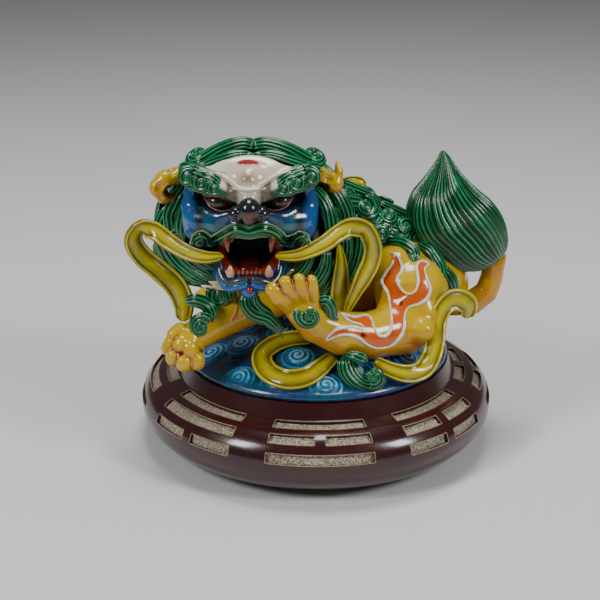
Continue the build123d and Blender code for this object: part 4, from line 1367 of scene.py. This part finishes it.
def pressed(points, sink):
    """Points slid along the line of sight onto the body, at most sink further back."""
    p = np.array(points, float)
    on = seen_at(body_field, p[:, 0], p[:, 2], plane=p[:, 1], lift=0.5)
    ray = normalised(p[:, :3] - EYE_POINT)
    depth = np.clip(((on - p[:, :3]) * ray).sum(1), -6, sink)
    if len(p) > 2:
        step = np.arange(len(p))
        depth = np.polyval(np.polyfit(step, depth, 1), step)
    return np.hstack([p[:, :3] + ray * depth[:, None], p[:, 3:]])


def body_lock(heap, points, out, strands, thick, sink=6.0):
    lock(heap, pressed(points, sink), out, strands, thick, belly=1.5)


def body_snail(heap, centre, facing, radius, start, sink=6.0):
    proud = normalised(np.array(facing, float)) * 0.8
    snail(heap, pressed([centre], sink)[0] + proud, facing, radius, 1, start, strands=5, belly=1.9)


def small_locks():
    """Goatee, beard curls, leg curls, hock tuft and the locks on the rump."""
    chin = Heap()
    body_lock(chin, [(-31.5, -45.6, 84.5, 2), (-31.2, -47.4, 79.6, 2.9), (-27.6, -48.4, 75.6, 3.2),
                     (-22, -49, 73.6, 3), (-17.6, -50.4, 69.8, 2.4), (-15.4, -52, 65.6, 1)],
              (0, -1, 0.2), 5, 0.8, 3.5)
    body_lock(chin, [(-27.5, -46, 84, 1.6), (-26.4, -47.6, 80, 2.2), (-23, -48.4, 77, 2.2),
                     (-19, -48.8, 75, 1.2)],
              (0, -1, 0.2), 4, 0.8, 3.5)
    chin.piece("chin_hair", HAIR, "hair_paint", "goatee")

    beard = Heap()
    body_snail(beard, (-42.4, -38.6, 80.4), (-0.1, -1, 0.1), 7.2, 2.4)
    body_lock(beard, [(-38, -38, 86.5, 1.6), (-37.6, -40, 82, 2.4), (-37, -41, 78, 1.6)],
              (0, -1, 0.1), 4, 0.8)
    beard.piece("beard_hair", HAIR, "hair_paint", "beard_curls")

    legs = Heap()
    body_snail(legs, (-50, -47.6, 69.8), (-0.25, -1, 0.15), 7.6, 0.6)
    body_lock(legs, [(-57.6, -43.4, 79.4, 1.8), (-53, -45.6, 80.8, 3), (-48.4, -46, 79.4, 3.2),
                     (-45.6, -46.4, 75.4, 2.8), (-46, -47, 71, 1.8)],
              (-0.2, -1, 0.2), 5, 0.7)
    body_snail(legs, (-4.6, -56.4, 78.2), (0.1, -1, 0.1), 7.6, 2.6)
    body_lock(legs, [(-1.4, -52.5, 82.4, 1.6), (2.6, -53, 83.2, 2.6), (4.8, -53.4, 80, 2.6),
                     (5.4, -53.8, 76.6, 2.4), (9, -53.6, 73.6, 1)],
              (0.2, -1, 0.1), 4, 0.8)
    legs.piece("leg_hair", HAIR, "hair_paint", "leg_curls")

    hock = Heap()
    body_lock(hock, [(11.6, -53, 59, 3.4), (12.4, -55.6, 53, 4.6), (16.4, -57.4, 48.4, 4.2),
                     (22.4, -58, 46.6, 3.5), (27, -57.8, 49.2, 2.6), (26.8, -57.4, 53, 1.4)],
              (0.1, -1, 0.2), 8, 0.7, 5)
    body_snail(hock, (22.8, -58.6, 51), (0.1, -1, 0.25), 6.6, 4.2, sink=5)
    body_lock(hock, [(11.4, -55.4, 60, 1.6), (16, -57.6, 59.6, 2.4), (20.6, -58, 57.4, 2.4)],
              (0.1, -1, 0.3), 4, 0.9, 5)
    hock.piece("hock_hair", HAIR, "hair_paint", "hock_tuft")

    rump = Heap()
    body_lock(rump, [(31.5, -12, 96.6, 2), (37.6, -15, 96.4, 3), (42.6, -18, 92.6, 3), (41.6, -20, 86.6, 1)],
              (0.1, -1, 0.5), 5, 0.8)
    body_lock(rump, [(44.6, -10, 96, 2.2), (50.6, -12.6, 92, 3.4), (54.6, -15.4, 85.4, 3.4),
                     (54.2, -18, 79, 2.8), (51.4, -20, 73, 1)],
              (0.3, -1, 0.3), 6, 0.8, 9)
    body_lock(rump, [(56, -9, 84, 2.2), (60.4, -12, 78.4, 3), (61.6, -14, 73, 2.6), (59.4, -16, 69, 1)],
              (0.4, -1, 0.2), 5, 0.8, 9)
    rump.piece("rump_hair", HAIR, "hair_paint", "rump_locks")


PLUME_LEFT = [(80, 78.4), (71, 76.8), (61, 78.6), (52.4, 85), (45, 91.6), (41.4, 98.5), (41, 105.5),
              (43, 112.6), (48, 119.4), (52.9, 126.7), (56, 132.8)]
PLUME_RIGHT = [(86.5, 84), (88.2, 88.4), (88, 94.6), (86.4, 100.4), (83.4, 106), (79, 111.2), (73, 116),
               (68, 120.6), (64, 125.4), (60.6, 130.2), (57.6, 133.2)]


def plume():
    """Onion-shaped tail tuft: grooved strands that spread from the stalk and gather at the tip."""
    left, right = smooth_path(PLUME_LEFT, 90), smooth_path(PLUME_RIGHT, 90)
    middle, half = (left + right) / 2, (right - left) / 2
    strands = 46
    angle = np.linspace(0, 2 * np.pi, strands * 8, endpoint=False)
    width = np.linalg.norm(half, axis=1)
    deep = 5 + (middle[:, 1] - 80) * 0.05
    wave = np.abs(np.sin(angle * strands / 2))
    bundle = np.abs(np.sin(angle * 4.5 + 0.6)) ** 0.5
    groove = np.minimum(1.2, width * 0.09)[:, None] * (wave**0.6 + 0.9 * bundle - 1.6)
    swell = 1 + groove / np.maximum(width, 0.5)[:, None]
    x = middle[:, :1] + half[:, :1] * np.cos(angle) * swell
    z = middle[:, 1:] + half[:, 1:] * np.cos(angle) * swell
    y = deep[:, None] - np.minimum(width, 20.5)[:, None] * 0.9 * np.sin(angle) * swell
    n, k = x.shape
    verts = np.vstack([np.stack([x, y, z], -1).reshape(-1, 3), [(83.4, 5, 81), (56.8, deep[-1], 133.3)]])
    # Tone paints highlight on the strand crests and shade in the grooves, deeper between bundles.
    tone = np.append(np.tile(wave * (0.7 + 0.3 * bundle), n), [0.3, 0.8])
    heap = Heap(verts, [grid_faces(n, k), *end_caps(n, k)], tone)
    heap.piece("plume_strands", HAIR, "hair_paint", "tail_plume")


def stalk_field(p):
    stalk = rod(p, (64, 3, 62, 6.6), (73, 3, 61.6, 5.8), (79.6, 4, 66.4, 5.4), (82, 5, 73.6, 5.3),
                (82.4, 5, 80, 5.2))
    return melt(stalk, rod(p, (84.6, 3, 80.5, 2.8), (86.6, 3, 84, 1.6)), 1.5)


def stalk():
    verts, faces = skin(stalk_field, (58, -6, 53), (90, 14, 88), 0.8)
    tone = hollow_tone(stalk_field, verts)
    heap = Heap(verts, faces, tone, shaded(stalk_field, verts, tone, YELLOW * 0.6 + AMBER * 0.4))
    heap.piece("tail_root", SKIN, "coat_paint", "tail_stalk")


# ---------------------------------------------------------------- ribbons
def ribbon(heap, route, facings, count):
    """Flat ribbon with raised rims and a middle ridge, through (x, y, z, half width) points.

    Its facings, the ways that its face looks, are spread evenly along it.
    """
    path = smooth_path(route, count)
    facing = smooth_path(facings, count) if len(facings) > 1 else np.array(facings * count, float)
    across = np.linspace(-1, 1, 25)
    rims = np.exp(-(((np.abs(across) - 0.86) / 0.13) ** 2))
    ridge = np.maximum(rims, 0.8 * np.cos(np.clip(across / 0.62, -1, 1) * np.pi / 2) ** 0.7)
    section = np.vstack([
        np.stack([across, 0.45 + 0.75 * ridge], 1),
        np.stack([across[::-1], -0.55 - 0.3 * ridge], 1),
    ])
    near_end = np.minimum(1, 0.3 + np.arange(count) / 3)
    ends = near_end * near_end[::-1]
    # Tone paints highlight on the rims and middle ridge, and shade in the grooves and on the underside.
    tone = np.concatenate([0.3 + 0.62 * ridge, 0.35 + 0.2 * ridge])
    sizes = np.stack([path[:, 3] * ends, 0.95 * np.minimum(1, path[:, 3] / 2.5) * ends], 1)
    sweep(heap, path[:, :3], facing, section, sizes, np.tile(tone, (count, 1)))


def ribbons():
    left = Heap()
    ribbon(left, [(-40.5, -42, 99.4, 1.6), (-48, -41.4, 98.6, 2.8), (-56, -38.6, 99.8, 3.4),
                  (-64, -34.6, 103.2, 3.8), (-71, -31, 107.4, 4), (-77.4, -28.6, 107.6, 4.2),
                  (-80.4, -27, 101.6, 4.4), (-77, -26, 94.4, 4.6), (-69.6, -25, 87, 4.8),
                  (-62.6, -25, 79.6, 5), (-59.4, -27, 72, 4.8), (-59.6, -30, 65, 3)],
           [(0, -1, 0.9), (-0.1, -1, 0.9), (0, -1, 0.9), (0.2, -1, 0.8), (0.6, -1, 0.4), (0.8, -1, -0.3),
            (0.5, -1, 0.2), (0.2, -1, 0.5), (-0.2, -1, 0.4), (-0.4, -1, 0.2), (-0.3, -1, 0.2),
            (-0.2, -1, 0.3)], 120)
    left.piece("left_ribbon", RIBBON, "ribbon_paint", "ribbon_left_run", "ribbon_left_fall")

    right = Heap()
    ribbon(right, [(-18.6, -42, 99.4, 1.6), (-9, -40.6, 99.2, 2.8), (1.4, -36.8, 102.6, 3.6),
                   (8, -33, 106.2, 3.9), (14, -30.4, 108.6, 4.1), (20.4, -29, 106.8, 4.4),
                   (23.6, -28.5, 99.6, 4.2), (22.8, -28.5, 92.4, 4.2), (19.6, -29.6, 85.6, 4.2),
                   (15.8, -31, 78.4, 3.2), (13, -32, 72, 2), (12.4, -33, 67.6, 0.9)],
           [(0, -1, 0.9), (0.1, -1, 0.9), (0, -1, 0.9), (-0.2, -1, 0.9), (-0.3, -1, 0.6), (-0.6, -1, 0.3),
            (-0.4, -1, 0), (0.2, -1, 0), (0.5, -1, 0), (0.4, -1, 0.1), (0.3, -1, 0.2), (0.2, -1, 0.2)], 120)
    right.piece("right_ribbon", RIBBON, "ribbon_paint", "ribbon_right_run", "ribbon_right_fall")

    loop = Heap()
    flat = [(-3, 63), (-12, 62.4), (-19, 60), (-23.8, 55.6), (-23.6, 50.4), (-20, 46), (-13, 43.6),
            (-5.6, 44.8), (0.6, 49), (6.4, 54.4)]
    x, z = np.array(flat).T
    on = seen_at(mound_field, x, z, plane=-48, lift=1.6)
    widths = (3.4, 4, 4.4, 4.6, 4.8, 4.8, 4.8, 4.6, 4.2, 3)
    ribbon(loop, [(*q, w) for q, w in zip(on, widths)], [(0, -0.7, 0.8)], 110)
    loop.piece("front_ribbon", RIBBON, "ribbon_paint", "ribbon_front_loop")

    hip = Heap()
    ribbon(hip, [(24, -47, 53, 2.6), (31, -49.5, 50, 3.4), (38, -50, 48.4, 3.9), (45, -47.4, 49, 4.2),
                 (49.4, -42.4, 53, 4.4), (51.4, -37.4, 59, 4.4), (52.4, -34.4, 66, 4.2),
                 (54.6, -32, 71.6, 4.4), (58.4, -29.6, 74.6, 4.8), (63, -28, 74.2, 5), (66.8, -27, 70.8, 5),
                 (66, -27, 65.4, 3.6)],
           [(-0.2, -1, 0.4), (0, -1, 0.5), (0.1, -1, 0.6), (0.3, -1, 0.6), (0.4, -1, 0.5), (0.3, -1, 0.4),
            (0, -1, 0.6), (-0.3, -1, 0.7), (-0.1, -1, 0.9), (0.5, -1, 0.6), (0.8, -1, 0), (0.4, -1, -0.2)],
            120)
    hip.piece("hip_ribbon", RIBBON, "ribbon_paint", "ribbon_hip_scroll")

    end = Heap()
    ribbon(end, [(9, 13, 114, 2.4), (14.4, 13.6, 116.6, 2.8), (19.6, 14, 116.8, 2.6), (22.6, 14, 114.6, 1.4)],
           [(0, -1, 0.5)], 36)
    ribbon(end, [(9, -25, 100, 0.8), (9.8, -26, 92, 2.6), (9.8, -27, 83, 4.2), (9.6, -27.6, 74, 4.6),
                 (9.2, -28, 66, 3)],
           [(0.3, -1, 0.2)], 40)
    end.piece("ribbon_ends", RIBBON, "ribbon_paint", "ribbon_back_end")


mane_core()
crown_hair()
brow_hair()
side_hair()
back_hair()
nape_hair()
small_locks()
plume()
stalk()
ribbons()


# ---------------------------------------------------------------- view
CAMERA_PLACE = (-0.01519, -0.55785, 0.26922)
CAMERA_AHEAD = (0.01282613, 0.93848973, -0.34506887)
CAMERA_ROLL = -0.151  # degrees
FOCAL_LENGTH = 76.7


def lens():
    """Camera at the viewing angle, a little above the figure and close to square on."""
    camera = bpy.data.objects.new("camera", bpy.data.cameras.new("camera"))
    bpy.context.collection.objects.link(camera)
    camera.data.lens = FOCAL_LENGTH
    camera.data.sensor_width = 36
    forward = Vector(CAMERA_AHEAD).normalized()
    right = forward.cross(Vector((0, 0, 1))).normalized()
    roll = Matrix.Rotation(np.radians(CAMERA_ROLL), 3, forward)
    right, up = roll @ right, roll @ right.cross(forward)
    turn = Matrix((right, up, -forward)).transposed()
    camera.matrix_world = Matrix.Translation(CAMERA_PLACE) @ turn.to_4x4()
    bpy.context.scene.camera = camera


def softbox(name, place, target, width, height, power):
    light = bpy.data.objects.new(name, bpy.data.lights.new(name, "AREA"))
    bpy.context.collection.objects.link(light)
    light.data.shape = "RECTANGLE"
    light.data.size, light.data.size_y = width, height
    light.data.energy = power
    light.location = place
    light.rotation_euler = (Vector(target) - Vector(place)).to_track_quat("-Z", "Y").to_euler()


def studio():
    """Pale floor, white surroundings and three softboxes."""
    mesh = bpy.data.meshes.new("floor")
    mesh.from_pydata([(-4, -4, 0), (4, -4, 0), (4, 4, 0), (-4, 4, 0)], [], [(0, 1, 2, 3)])
    floor = bpy.data.objects.new("floor", mesh)
    bpy.context.collection.objects.link(floor)
    material, shader, _ = blank("pale_floor")
    shader.inputs["Base Color"].default_value = (0.72, 0.72, 0.72, 1)
    shader.inputs["Roughness"].default_value = 0.9
    mesh.materials.append(material)
    world = bpy.data.worlds.new("surroundings")
    world.use_nodes = True
    world.node_tree.nodes["Background"].inputs["Color"].default_value = (1, 1, 1, 1)
    world.node_tree.nodes["Background"].inputs["Strength"].default_value = 0.13
    bpy.context.scene.world = world
    middle = (0, 0, 0.07)
    softbox("left_box", (-0.75, -0.55, 0.75), middle, 0.22, 0.34, 6.6)
    softbox("right_box", (0.8, -0.5, 0.7), middle, 0.22, 0.34, 6.2)
    softbox("top_box", (0, 0.15, 1.1), middle, 0.4, 0.4, 6.6)


lens()
studio()
